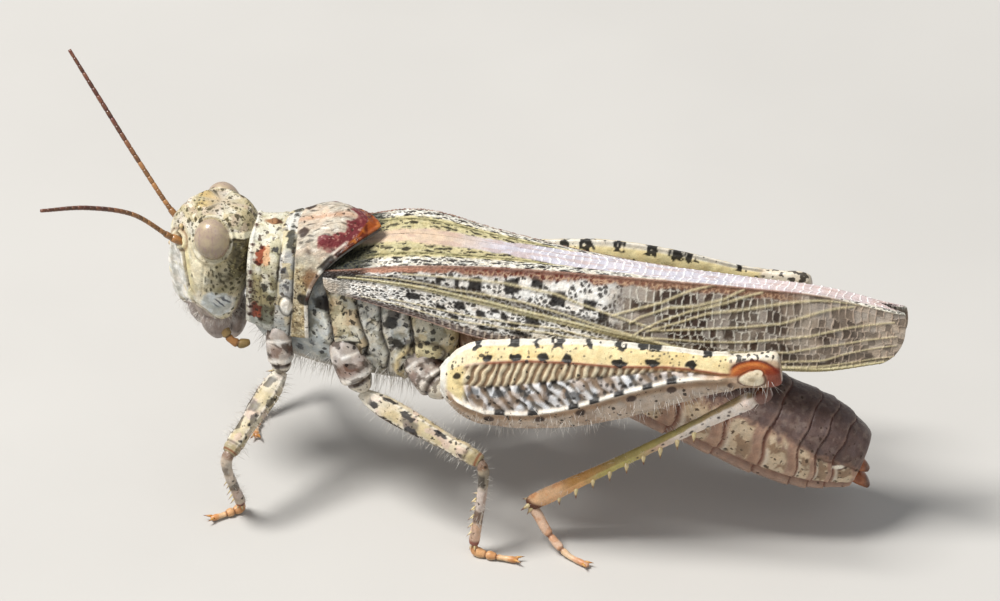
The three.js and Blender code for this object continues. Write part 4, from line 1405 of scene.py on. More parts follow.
WING_START = -8.55
WING_END = 20.5
WING_LENGTH = WING_END - WING_START
FOLD_Y = [2.3, 2.45, 1.6, 0.98, 0.62, 0.45, 0.36, 0.3]
FOLD_Z = [14.0, 14.82, 14.62, 14.3, 14.1, 14.0, 13.85, 13.15]
EDGE_Y = [2.75, 3.15, 3.2, 3.0, 2.6, 2.05, 1.45, 0.75]
EDGE_Z = [13.0, 12.35, 11.25, 10.95, 10.6, 10.15, 9.9, 10.5]
TIP_START = 0.92        # where the inner edges part before the tips
TOP_SHARE = 0.4         # share of the wing's breadth that lies flat on the back
OUTER_FACE = 0.92       # share of each ring that is the outer face
TIP_PLACE = 0.56        # place across the wing at which the tip closes


def wing_place(u, v, inner_edge):
    """One forewing, with y measured outward: v runs from the inner edge over the fold to
    the lower edge. The left wing's inner edge lies a little way over the right wing."""
    fold_y, fold_z = along(FOLD_Y, u), along(FOLD_Z, u)
    edge_y, edge_z = along(EDGE_Y, u), along(EDGE_Z, u)
    wide = edge_y - fold_y
    tall = edge_z - fold_z
    inner = inner_edge + (0.9 * fold_y - inner_edge) * rise(u, TIP_START, 1.0)
    middle = inner + 0.55 * (fold_y - inner)
    y_keys = [inner, middle, fold_y, fold_y + 0.45 * wide, fold_y + 0.8 * wide, edge_y]
    over = 0.02 - 0.35 * min(inner_edge, 0) * fall(u, TIP_START, 1.0)
    z_keys = [fold_z + over, fold_z + 0.02, fold_z - 0.1, fold_z + 0.4 * tall]
    z_keys += [fold_z + 0.72 * tall, edge_z]
    y, z = 0.0, 0.0
    place = np.clip(v, 0, 1) * 5
    i = np.minimum(place.astype(int), 4)
    f = place - i
    weights = (
        -0.5 * f + f**2 - 0.5 * f**3,
        1 - 2.5 * f**2 + 1.5 * f**3,
        0.5 * f + 2 * f**2 - 1.5 * f**3,
        -0.5 * f**2 + 0.5 * f**3,
    )
    for step, weight in zip((-1, 0, 1, 2), weights):
        k = np.clip(i + step, 0, 5)
        y = y + weight * np.choose(k, y_keys)
        z = z + weight * np.choose(k, z_keys)
    x = WING_START + WING_LENGTH * u
    return np.stack([x, y, z], -1)


def wing_grid(side, T, A):
    """Place across the wing, whether it is the outer face, and how full the ring is."""
    turn = A / (2 * math.pi)
    outer = turn <= OUTER_FACE
    v = np.where(outer, turn / OUTER_FACE, (1 - turn) / (1 - OUTER_FACE))
    if side == RIGHT:
        v = 1 - v
    tip = np.sqrt(np.clip(1 - (np.clip(T - 0.95, 0, 1) / 0.05) ** 2, 0, 1))
    root = np.sqrt(np.clip(1 - (np.clip(0.02 - T, 0, 1) / 0.02) ** 2, 0, 1))
    full = tip * root
    return TIP_PLACE + (v - TIP_PLACE) * full, outer, full


def wing_shape(side, T, A):
    v, outer, full = wing_grid(side, T, A)
    p = wing_place(T, v, -0.22 if side == LEFT else 0.02)
    sideways = along([0, 0.45, 0.95, 1, 1, 1], v)
    downward = along([1, 1, 0.9, 0.5, 0.25, 0.1], v)
    thick = np.where(outer, 0, 0.1) * full
    p = p - np.stack([0 * T, sideways, downward], -1) * thick[..., None]
    p[..., 1] *= side
    return p


# Long veins, as (share of the length, share of the breadth below the fold).
LONG_VEINS = {
    "edge": [(0.07, 0.8), (0.12, 0.77), (0.2, 0.79), (0.29, 0.72), (0.39, 0.73), (0.53, 0.86), (0.62, 1)],
    "edge_2": [(0.12, 0.68), (0.2, 0.66), (0.3, 0.63), (0.4, 0.66), (0.5, 0.77), (0.58, 0.88)],
    "radius": [
        (0.03, 0.22),
        (0.114, 0.31),
        (0.29, 0.42),
        (0.47, 0.62),
        (0.65, 0.82),
        (0.8, 0.93),
        (0.99, 0.96),
    ],
    "media": [(0.14, 0.13), (0.22, 0.15), (0.31, 0.17), (0.4, 0.24), (0.5, 0.42), (0.58, 0.55)],
    "cubitus": [
        (0.06, 0.16),
        (0.22, 0.3),
        (0.28, 0.31),
        (0.35, 0.36),
        (0.41, 0.45),
        (0.48, 0.57),
        (0.6, 0.74),
    ],
    "rear_1": [(0.5, 0.42), (0.53, 0.34), (0.583, 0.23), (0.628, 0.1), (0.67, 0.0)],
    "rear_2": [(0.53, 0.5), (0.547, 0.41), (0.592, 0.28), (0.64, 0.24), (0.688, 0.15), (0.72, 0.03)],
    "rear_3": [(0.54, 0.64), (0.55, 0.58), (0.581, 0.44), (0.628, 0.3), (0.688, 0.19), (0.752, 0.04)],
    "rear_4": [(0.56, 0.58), (0.66, 0.3), (0.723, 0.23), (0.783, 0.15), (0.847, 0.07), (0.918, 0.01)],
    "rear_5": [(0.567, 0.57), (0.66, 0.48), (0.723, 0.42), (0.787, 0.34), (0.847, 0.2), (0.91, 0.06)],
    "rear_6": [
        (0.56, 0.67),
        (0.653, 0.65),
        (0.723, 0.61),
        (0.787, 0.53),
        (0.84, 0.46),
        (0.9, 0.33),
        (0.98, 0.18),
    ],
    "rear_7": [(0.65, 0.82), (0.7, 0.76), (0.802, 0.7), (0.857, 0.6), (0.9, 0.55), (0.985, 0.42)],
    "rear_8": [(0.74, 0.9), (0.802, 0.82), (0.865, 0.79), (0.9, 0.71), (0.985, 0.6)],
    "rear_9": [(0.76, 0.94), (0.802, 0.9), (0.9, 0.86), (0.99, 0.83)],
}
LATERAL = 3.4           # breadth of the side field, for drawing on it
BACK_FIELD = 3.2        # breadth of the field on the back

# Dark blocks of the side field, near the base and behind: place along, place across, half
# length and half breadth.
BASE_BLOCKS = (
    (0.155, 0.1, 0.3, 0.03),
    (0.2, 0.2, 0.16, 0.04),
    (0.232, 0.22, 0.14, 0.04),
    (0.265, 0.21, 0.36, 0.085),
    (0.325, 0.21, 0.36, 0.08),
    (0.365, 0.14, 0.3, 0.05),
    (0.405, 0.3, 0.36, 0.09),
    (0.46, 0.34, 0.3, 0.07),
    (0.485, 0.48, 0.3, 0.06),
    (0.16, 0.52, 0.3, 0.05),
    (0.205, 0.6, 0.24, 0.05),
    (0.24, 0.52, 0.3, 0.05),
    (0.275, 0.58, 0.22, 0.05),
    (0.3, 0.5, 0.2, 0.04),
    (0.315, 0.58, 0.22, 0.05),
    (0.335, 0.66, 0.26, 0.04),
    (0.365, 0.6, 0.36, 0.07),
    (0.23, 0.72, 0.26, 0.035),
    (0.29, 0.77, 0.4, 0.035),
    (0.35, 0.79, 0.5, 0.03),
)
HIND_BLOCKS = (
    (0.55, 0.3, 0.5, 0.06),
    (0.6, 0.42, 0.7, 0.05),
    (0.62, 0.6, 0.6, 0.05),
    (0.7, 0.5, 0.3, 0.06),
    (0.735, 0.66, 0.34, 0.06),
    (0.79, 0.4, 0.26, 0.06),
    (0.8, 0.66, 0.24, 0.05),
    (0.87, 0.45, 0.5, 0.05),
    (0.88, 0.8, 0.3, 0.05),
    (0.94, 0.4, 0.4, 0.06),
)


def wing_paint(skin, side):
    u = skin.T
    v, outer, full = wing_grid(side, skin.T, skin.A)
    q = v / TOP_SHARE
    w = (v - TOP_SHARE) / (1 - TOP_SHARE)
    lateral = rise(w, -0.03, 0.03)
    along_mm = u * WING_LENGTH
    across_mm = np.where(w > 0, w * LATERAL, (q - 1) * BACK_FIELD)
    flat = np.stack([along_mm, across_mm], -1)
    bent = wobble(flat, 0.1, 0.5, 3)
    bu = bent[..., 0] / WING_LENGTH
    bw = bent[..., 1] / LATERAL
    bq = bent[..., 1] / BACK_FIELD + 1
    rear = rise(bu, 0.47, 0.54)
    far = rise(u, 0.68, 0.95)

    # two nets of cross veins: small cells near the base, long ones towards the tip
    small = cells(wobble(flat, 0.04, 0.3, 30) / (0.25, 0.17), 31)
    panes = wobble(flat, 0.09, 0.45, 32) / (0.37, 0.4)
    pane_row = np.floor(panes[..., 1]).astype(np.int64)
    panes[..., 0] += 3 * scatter(pane_row[..., None], 33)
    pane_mark = scatter(np.floor(panes).astype(np.int64), 34)
    pane_gap = 0.5 - np.abs(panes % 1 - 0.5)
    net_small = fall(small[1] - small[0], 0.1, 0.34)
    bars = np.maximum(fall(pane_gap[..., 0], 0.05, 0.12), 0.7 * fall(pane_gap[..., 1], 0.03, 0.08))
    net_large = bars * rise(noise(flat, 0.7, 35), 0.2, 0.34)
    hole = 1 - net_small

    # the side field near the base: a white net with dark holes
    skin.wash(1, "8f8272")
    skin.wash(lateral, "f0eee8")
    open_share = 0.5 + 0.3 * noise(flat, 1.1, 36)
    open_share = open_share - 0.3 * between(w, 0.12, 0.3, 0.1) * between(u, 0.1, 0.45, 0.1)
    skin.wash(0.92 * hole * (small[2] < open_share) * lateral, "1f1815")
    skin.wash(0.35 * hole * (small[2] > 0.8) * lateral, "a08870")
    for cu, cw, half, deep in BASE_BLOCKS:
        block = between(bent[..., 0] - cu * WING_LENGTH, -half, half, 0.1)
        skin.wash(0.96 * block * between(bw, cw - deep, cw + deep, 0.03) * lateral, "120d0c")
    radius_line = through(LONG_VEINS["radius"], u)
    streak = between(bw - radius_line, -0.13, -0.02, 0.03) * between(u, 0.07, 0.6, 0.08)
    skin.wash(0.9 * streak * lateral * (1 - 0.3 * net_small), "261d16")
    low_strip = rise(w, 0.8, 0.86) * between(u, 0.04, 0.5, 0.04)
    skin.wash(0.85 * low_strip, "574640")
    cross = rise(np.sin(along_mm * 2 * math.pi / 0.36 + 3 * noise(flat, 0.8, 44)), 0.5, 0.9)
    cross = cross * rise(u, 0.16, 0.24)
    skin.wash(0.8 * low_strip * cross, "cdbfae")

    # the hind part: brown membrane between cream veins and white cross veins. The membrane is clear, and
    # its brown is partly its own smoky tint and partly painted shade from beneath, seen through it; it
    # pales towards the tip.
    brown = tone("46372e") * (1 - far)[..., None] + tone("b8a998") * far[..., None]
    skin.wash(lateral * rear, "5d4f45")
    skin.wash(lateral * rear * rise(u, 0.52, 0.6), brown)
    cloud = rough(flat, 1.6, 40)
    skin.wash(0.6 * lateral * rear * rise(cloud, 0.52, 0.6), "3a2d26")
    skin.wash(0.5 * lateral * rear * fall(cloud, 0.4, 0.48), "a59a8c")
    skin.wash(0.55 * lateral * rear * (pane_mark < 0.25), "2e221c")
    skin.wash(0.45 * lateral * rear * (pane_mark > 0.8), "b5ada4")
    for cu, cw, half, deep in HIND_BLOCKS:
        block = between(bent[..., 0] - cu * WING_LENGTH, -half, half, 0.2)
        block = block * between(bw, cw - deep, cw + deep, 0.04)
        skin.wash((0.85 - 0.3 * far) * block * rear, "3b2a20")
    skin.wash(0.85 * net_large * lateral * rear * (1 - 0.45 * far), "d9d5c8")
    skin.wash(0.4 * net_large * lateral * rear * far, "a97f62")

    # red-brown band under the fold, pink towards the base
    band = between(bw, -0.04, 0.1, 0.05) * between(u, 0.03, 0.8, 0.08)
    pinkish = fall(u, 0.14, 0.3)
    skin.wash(0.93 * band, "6b3527")
    skin.wash(0.85 * band * pinkish, "c08f78")
    skin.wash(0.6 * band * rise(u, 0.42, 0.6), "7c604c")
    ticks = net_small * between(w, 0.05, 0.12, 0.04) * (1 - pinkish)
    skin.wash(0.7 * ticks * band, "c9a888")

    hem_veins = sum(hump(w - k, 0.012) for k in (0.9, 0.945, 0.985)) * rise(u, 0.5, 0.58)
    skin.wash(0.85 * hem_veins * full, "dccfae")
    hem = rise(w, 0.94, 0.975) * lateral
    skin.wash(0.85 * hem * (1 - rear), "c9a99a")
    skin.wash(0.5 * hump(w - 0.93, 0.015) * (1 - rear), "4a3630")
    lobe = fall(bu, 0.035, 0.055) * rise(bw, 0.3, 0.4)
    skin.wash(0.95 * lobe, "a5a097")
    skin.mottle(0.7 * lobe, flat, 0.5, 45, 0.4, 0.6, "c4b8a8")
    # near-black root of the side field: partly its own dark glossy colour, partly painted shade under the
    # plate's rim
    root = fall(bu, 0.06, 0.09) * between(w, -0.03, 0.3, 0.06)
    skin.wash(0.95 * root, "1c120e")

    # the field on the back: cream net with dark specks, and a pale stripe
    back = 1 - lateral
    skin.wash(back, "c6bd94")
    skin.wash(0.9 * back * rise(q, 0.64, 0.72), "eceae2")
    dark_share = 0.36 + 0.3 * (noise(flat, 0.9, 37) - 0.5) + 0.16 * rise(q, 0.64, 0.72)
    dark_back = (small[2] < dark_share) * hole * back
    skin.wash(0.93 * dark_back, "1c1814")
    skin.wash(0.5 * hole * (small[2] > 0.7) * back, "8f865a")
    blotch = fall(cells(bent / (0.95, 0.4), 38)[0], 0.24, 0.34) * rise(q, 0.3, 0.4) * back
    skin.wash(0.92 * blotch * fall(u, 0.45, 0.6), "15110f")
    skin.wash(0.7 * back * hump(q - 0.56, 0.035) * fall(u, 0.4, 0.55), "6f6a42")
    skin.wash(0.7 * back * hump(q - 0.62, 0.02) * fall(u, 0.4, 0.6), "d4cb9c")
    edge_line = through([(0, 0.22), (0.3, 0.34), (0.45, 0.7), (0.6, 0.97), (0.88, 0.98), (1, 0.7)], u)
    stripe = fall(bq, edge_line - 0.04, edge_line + 0.04)
    shift = rise(u, 0.18, 0.32)[..., None]
    skin.wash(0.95 * back * stripe, tone("d4bda6") * (1 - shift) + tone("c4c1cc") * shift)
    skin.wash(0.6 * back * stripe * rise(u, 0.66, 0.8), "cfb8b0")
    rungs = rise(np.sin(along_mm * 2 * math.pi / 0.4 + 5 * noise(flat, 0.9, 46) + 2 * q), 0.86, 0.97)
    skin.wash(0.95 * back * stripe * rungs * rise(u, 0.28, 0.4), "ffffff")
    skin.wash(0.5 * back * stripe * rise(rough(flat / (3, 1), 0.4, 48), 0.58, 0.66), "b79c92")
    skin.wash(0.35 * hump(q, 0.03) * back, "9a7c6a")
    # near-black root of the back field: partly its own dark colour, partly painted shade under the plate
    dark_root = fall(bu, 0.06, 0.1) * rise(q, 0.2, 0.4) * back
    skin.wash(0.95 * dark_root, "14191d")
    skin.wash(0.4 * dark_root * net_small, "6a6a50")

    # long veins
    height = 0.035 * net_small * (1 - rear) * (1 - 0.8 * stripe * back) + 0.04 * net_large * rear * lateral
    height += 0.03 * rungs * stripe * back * rise(u, 0.28, 0.4)
    height += 0.02 * (noise(flat, 0.6, 49) - 0.5)
    for name, corners in LONG_VEINS.items():
        away = reach(along_mm, w * LATERAL, [(a * WING_LENGTH, b * LATERAL) for a, b in corners])
        if name == "radius":
            skin.wash(0.92 * hump(away, 0.15) * lateral * full, "6c6240")
            skin.wash(0.9 * hump(away - 0.085, 0.04) * lateral * full, "d3caa0")
            height += 0.1 * hump(away, 0.13) * lateral
        else:
            skin.wash(0.85 * hump(away, 0.045) * lateral * full, "cfc39c")
            skin.wash(0.45 * hump(away - 0.09, 0.03) * lateral * full * (1 - far), "3b3028")
            height += 0.05 * hump(away, 0.06) * lateral
    fold_edge = hump(w, 0.018)
    skin.wash(0.8 * fold_edge * fall(u, 0.8, 0.95), "8d5a48")
    height += 0.06 * fold_edge
    skin.values["gloss"] = net_small * 0.3 + 0.5 * dark_root + root
    # the inner face is darkened a little as painted shade
    skin.shade(np.where(outer, 1.0, 0.85))
    skin.lift(np.where(outer, height, 0) * np.clip(full * 1.2, 0, 1))


def make_wing(side):
    skin = Skin(134, 690, lambda T, A: wing_shape(side, T, A), crowd=0.5)
    wing_paint(skin, side)
    return skin.make(f"forewing_{SIDES[side]}", WING_LEATHER)


# ---- legs -----------------------------------------------------------------------------

HIP_RADII = {
    "fore": [0.7, 0.74, 0.7, 0.46],
    "mid": [0.95, 0.98, 0.95, 0.52],
    "hind": [1.1, 1.15, 1.05, 0.66],
}
SKIN_UNDER_HIP = 0.88   # share of the radii that the skin of a hip takes
MID_HIP = [(-7.6, -1.8, 9.5), (-7.4, -2.2, 8.9), (-6.9, -2.6, 8.0), (-6.4, -2.7, 7.1)]
HIND_HIP = [(-4.1, -1.7, 9.2), (-3.7, -2.0, 8.9), (-2.9, -2.8, 8.2), (-2.1, -3.4, 7.9)]
# The line of every leg from the body to the foot.
LEGS = {
    ("fore", LEFT): {
        "hip": [(-10.95, -1.35, 9.6), (-10.95, -1.75, 9.0), (-10.8, -2.05, 8.1), (-10.75, -2.05, 7.3)],
        "thigh": [(-10.75, -2.1, 7.3), (-10.85, -2.2, 7.1), (-12.86, -5.7, 4.55)],
        "shin": [(-12.95, -5.85, 4.2), (-12.5, -4.5, 0.62)],
        "foot": [(-12.55, -4.5, 0.3), (-13.1, -4.95, 0.22), (-13.85, -5.5, 0.2)],
    },
    ("fore", RIGHT): {
        "hip": [(-10.95, 1.35, 9.6), (-10.95, 1.75, 9.0), (-10.8, 2.0, 8.1), (-10.75, 2.05, 7.3)],
        "thigh": [(-10.7, 2.1, 7.3), (-10.75, 2.3, 7.1), (-11.5, 5.45, 4.1)],
        "shin": [(-11.6, 5.5, 3.75), (-12.95, 3.6, 0.62)],
        "foot": [(-13.0, 3.3, 0.3), (-12.95, 2.5, 0.22), (-12.8, 1.65, 0.2)],
    },
    ("mid", LEFT): {
        "hip": MID_HIP,
        "thigh": [(-6.6, -2.7, 6.95), (-6.3, -2.85, 6.8), (-3.2, -4.35, 6.25), (-0.05, -5.65, 5.5)],
        "shin": [(0.05, -5.75, 5.15), (-0.37, -6.05, 0.62)],
        "foot": [(-0.25, -6.15, 0.3), (0.8, -6.4, 0.22), (1.95, -6.5, 0.2)],
    },
    ("mid", RIGHT): {
        "hip": mirrored(MID_HIP, RIGHT),
        "thigh": [(-6.55, 2.7, 7.0), (-6.25, 2.85, 6.85), (-3.2, 4.35, 6.35), (0.05, 5.7, 5.55)],
        "shin": [(0.2, 5.8, 5.2), (-0.12, 6.2, 0.62)],
        "foot": [(0, 6.3, 0.3), (1, 6.5, 0.22), (2.1, 6.7, 0.2)],
    },
    ("hind", LEFT): {
        "hip": HIND_HIP,
        "thigh": [
            (-2.35, -4.1, 9.25),
            (2, -4.18, 9.5),
            (6, -4.25, 10.2),
            (10.5, -4.22, 11.15),
            (14.75, -4.1, 11.85),
        ],
        "shin": [(14.25, -4.15, 10.45), (13.3, -4.2, 9.85), (8, -4.3, 6.2), (2.15, -4.4, 2.2)],
        "foot": [(2.55, -4.55, 1.85), (3.25, -5.05, 1), (4.3, -5.7, 0.26), (5.5, -6.4, 0.19)],
    },
    ("hind", RIGHT): {
        "hip": mirrored(HIND_HIP, RIGHT),
        "thigh": [
            (-2.1, 4.15, 9.35),
            (2.3, 4.25, 9.95),
            (6.4, 4.3, 10.42),
            (10.9, 4.2, 10.75),
            (15.2, 4.05, 10.9),
        ],
        "shin": [(14.75, 4.1, 9.6), (13.8, 4.2, 9.05), (8.6, 4.7, 5.8), (3.1, 5.2, 2.4)],
        "foot": [(3.3, 5.4, 2.05), (3.95, 6.05, 1.1), (4.7, 6.75, 0.26), (5.6, 7.6, 0.19)],
    },
}
THIN_THIGH = [0.3, 0.42, 0.44, 0.42, 0.38, 0.36, 0.38, 0.42, 0.36]
DEEP_THIGH = [0.34, 0.5, 0.58, 0.58, 0.54, 0.46, 0.42, 0.48, 0.42]
HIND_THIN = [0.5, 0.85, 1, 1, 0.95, 0.86, 0.76, 0.64, 0.52, 0.5, 0.55]
HIND_UP = [0.9, 1.8, 2.2, 2.25, 2.2, 2, 1.7, 1.35, 0.98, 0.92, 1.12]
HIND_DOWN = [1, 1.85, 2.2, 2.23, 2.16, 1.95, 1.66, 1.33, 1, 0.92, 1.12]
HIP_ROUND = [(0, 0.75), (0.02, 1.08), (0.05, 1.2), (0.1, 1.12), (0.16, 1.03), (0.22, 1), (1, 1)]
LEAN = math.radians(15)


def make_hip(part, side):
    line = Line(LEGS[part, side]["hip"])
    radii = np.array(HIP_RADII[part]) * SKIN_UNDER_HIP
    skin = tube_skin(56, 90, line, (0.3, 1, 0), radii, radii, tips=6, box=2.1)
    p = skin.home
    T = skin.T
    neck = hump(T - 0.76, 0.035)
    skin.lift(0.05 * (rough(p, 0.4, 3) - 0.5) - 0.12 * neck + 0.05 * hump(T - 0.68, 0.04))
    q = wobble(p, 0.1, 0.3, 8)
    skin.wash(1, "a39a92")
    skin.mottle(0.8, q, 0.45, 5, 0.45, 0.58, "b9afa9")
    skin.mottle(0.85, q, 0.4, 9, 0.6, 0.66, "4a3f38")
    skin.mottle(0.8, q, 0.3, 10, 0.62, 0.7, "cdc7c0")
    skin.mottle(0.6 * between(T, 0.4, 0.6, 0.1), q, 0.5, 11, 0.4, 0.5, "6a4a3a")
    skin.mottle(0.9 * hump(T - 0.3, 0.03), q, 0.6, 12, 0.35, 0.45, "e8e4de")
    skin.wash(0.9 * hump(T - 0.67, 0.05), "e2ddd4")
    skin.wash(0.9 * rise(T, 0.79, 0.82), "ddd6c6")
    skin.wash(0.8 * neck, UMBER)
    if part == "hind":
        rear = rise(p[..., 0] - line.at(T)[..., 0], 0.1, 0.4) * rise(T, 0.12, 0.2)
        skin.wash(0.9 * rear * fall(T, 0.5, 0.62), "33211a")
    skin.wash(0.7 * (noise(q, 0.3, 6) > 0.66) * rise(T, 0.5, 0.55), UMBER)
    skin.values["fleck"][:] = 0.25
    skin.values["gloss"][:] = 0.3
    return skin.make(f"{part}_{SIDES[side]}_hip", LEG_SKIN), skin


def make_thin_thigh(part, side):
    line = Line(LEGS[part, side]["thigh"])
    axis = (0.3, 0.8, 0.5 * side)
    skin = tube_skin(72, 190, line, axis, THIN_THIGH, DEEP_THIGH, box=2.3, crowd=0.4)
    p = skin.home
    T, A = skin.T, skin.A
    keels = sum(around_line(A, turn, 0.14) for turn in (0.8, 2.35, 3.9, 5.5))
    skin.lift(0.035 * keels + 0.03 * (noise(p, 0.2, 4) - 0.5) - 0.05 * hump(T - 0.9, 0.02))
    q = wobble(p, 0.1, 0.35, 6)
    length = line.length * T
    round_mm = A * 0.5
    skin.wash(1, "c6bba2")
    skin.mottle(0.6, q, 0.6, 7, 0.48, 0.62, "b9ab84")
    skin.mottle(0.5, q, 0.4, 10, 0.6, 0.7, "c2a9a4")
    skin.wash(0.5 * fall(T, 0.1, 0.25), CHALK)
    field = cells(np.stack([length / 1.2, A * 1.25], -1), 11)
    edge = field[0] + 0.5 * (noise(q, 0.2, 12) - 0.5)
    dark = fall(edge, 0.34, 0.44) * (field[2] < 0.62) * between(T, 0.1, 0.88, 0.06)
    skin.wash((0.93 if part == "mid" else 0.75) * dark, "242327")
    band = between(T + 0.06 * (noise(q, 0.3, 13) - 0.5), 0.4, 0.52, 0.03)
    skin.wash(0.7 * band * rise(np.sin(A * 2 + 0.5), -0.2, 0.3), "4a484a")
    dashes = rise(noise(np.stack([length / 0.4, round_mm * 0], -1), 1, 14), 0.42, 0.52)
    skin.wash(0.85 * around_line(A, 4.2, 0.3) * dashes * rise(T, 0.1, 0.2), "4a3828")
    skin.wash(0.7 * keels * (1 - dark), "dcd6c8")
    beads = rise(np.sin(length * 14 + 2 * A), 0.6, 0.8)
    skin.wash(0.8 * keels * beads * rise(T, 0.12, 0.2), INK)
    skin.wash(0.7 * rise(T, 0.88, 0.93), "8f8460")
    skin.wash(0.5 * hump(T - 0.89, 0.012), UMBER)
    skin.wash(0.8 * hump(T - 0.975, 0.01), "7a3a1c")
    skin.values["fleck"] = 0.3 * fall(T, 0.88, 0.9)
    skin.values["gloss"] = 0.15 * rise(T, 0.9, 0.93)
    return skin.make(f"{part}_{SIDES[side]}_thigh", LEG_SKIN), skin


KNEE_AT = 0.918         # place of the knee's pivot along the hind thigh
MARKED_LENGTH = 17.6    # length of thigh on which the places of its marks are given
# Places of the dark spots on the underside and above the keel, and of the dark blocks on the
# pale rim.
UNDER_SPOTS = (2.6, 5.1, 7.2, 9.9, 12.0, 15.1)
KEEL_SPOTS = (2.55, 4.1, 5.55, 7.0, 9.6, 11.2, 13.2)
RIM_BLOCKS = (3.2, 4.85, 6.95, 8.05, 9.35, 10.85, 12.1)
# Black blocks on the top edge of the thigh: place and half length.
TOP_BLOCKS = (
    (1.9, 0.2),
    (3.9, 0.25),
    (5.3, 0.15),
    (6.4, 0.25),
    (8.0, 0.2),
    (9.6, 0.22),
    (10.9, 0.3),
    (11.5, 0.26),
    (14.0, 0.2),
)
# Height of the red-brown keel on the outer face, from the hip to the knee, and of the pale
# rim below it.
MIDDLE_KEEL = [
    (0, 0.5),
    (0.1, 0.6),
    (0.27, 0.66),
    (0.4, 0.6),
    (0.53, 0.5),
    (0.68, 0.46),
    (0.75, 0.36),
    (0.8, 0.2),
    (0.85, 0.0),
    (1, -0.1),
]
LOWER_KEEL = [
    (0, -0.35),
    (0.06, -0.46),
    (0.14, -0.58),
    (0.27, -0.54),
    (0.39, -0.43),
    (0.47, -0.32),
    (0.53, -0.22),
    (0.6, -0.14),
    (0.68, -0.06),
    (0.76, -0.06),
    (0.82, -0.16),
    (1, -0.3),
]


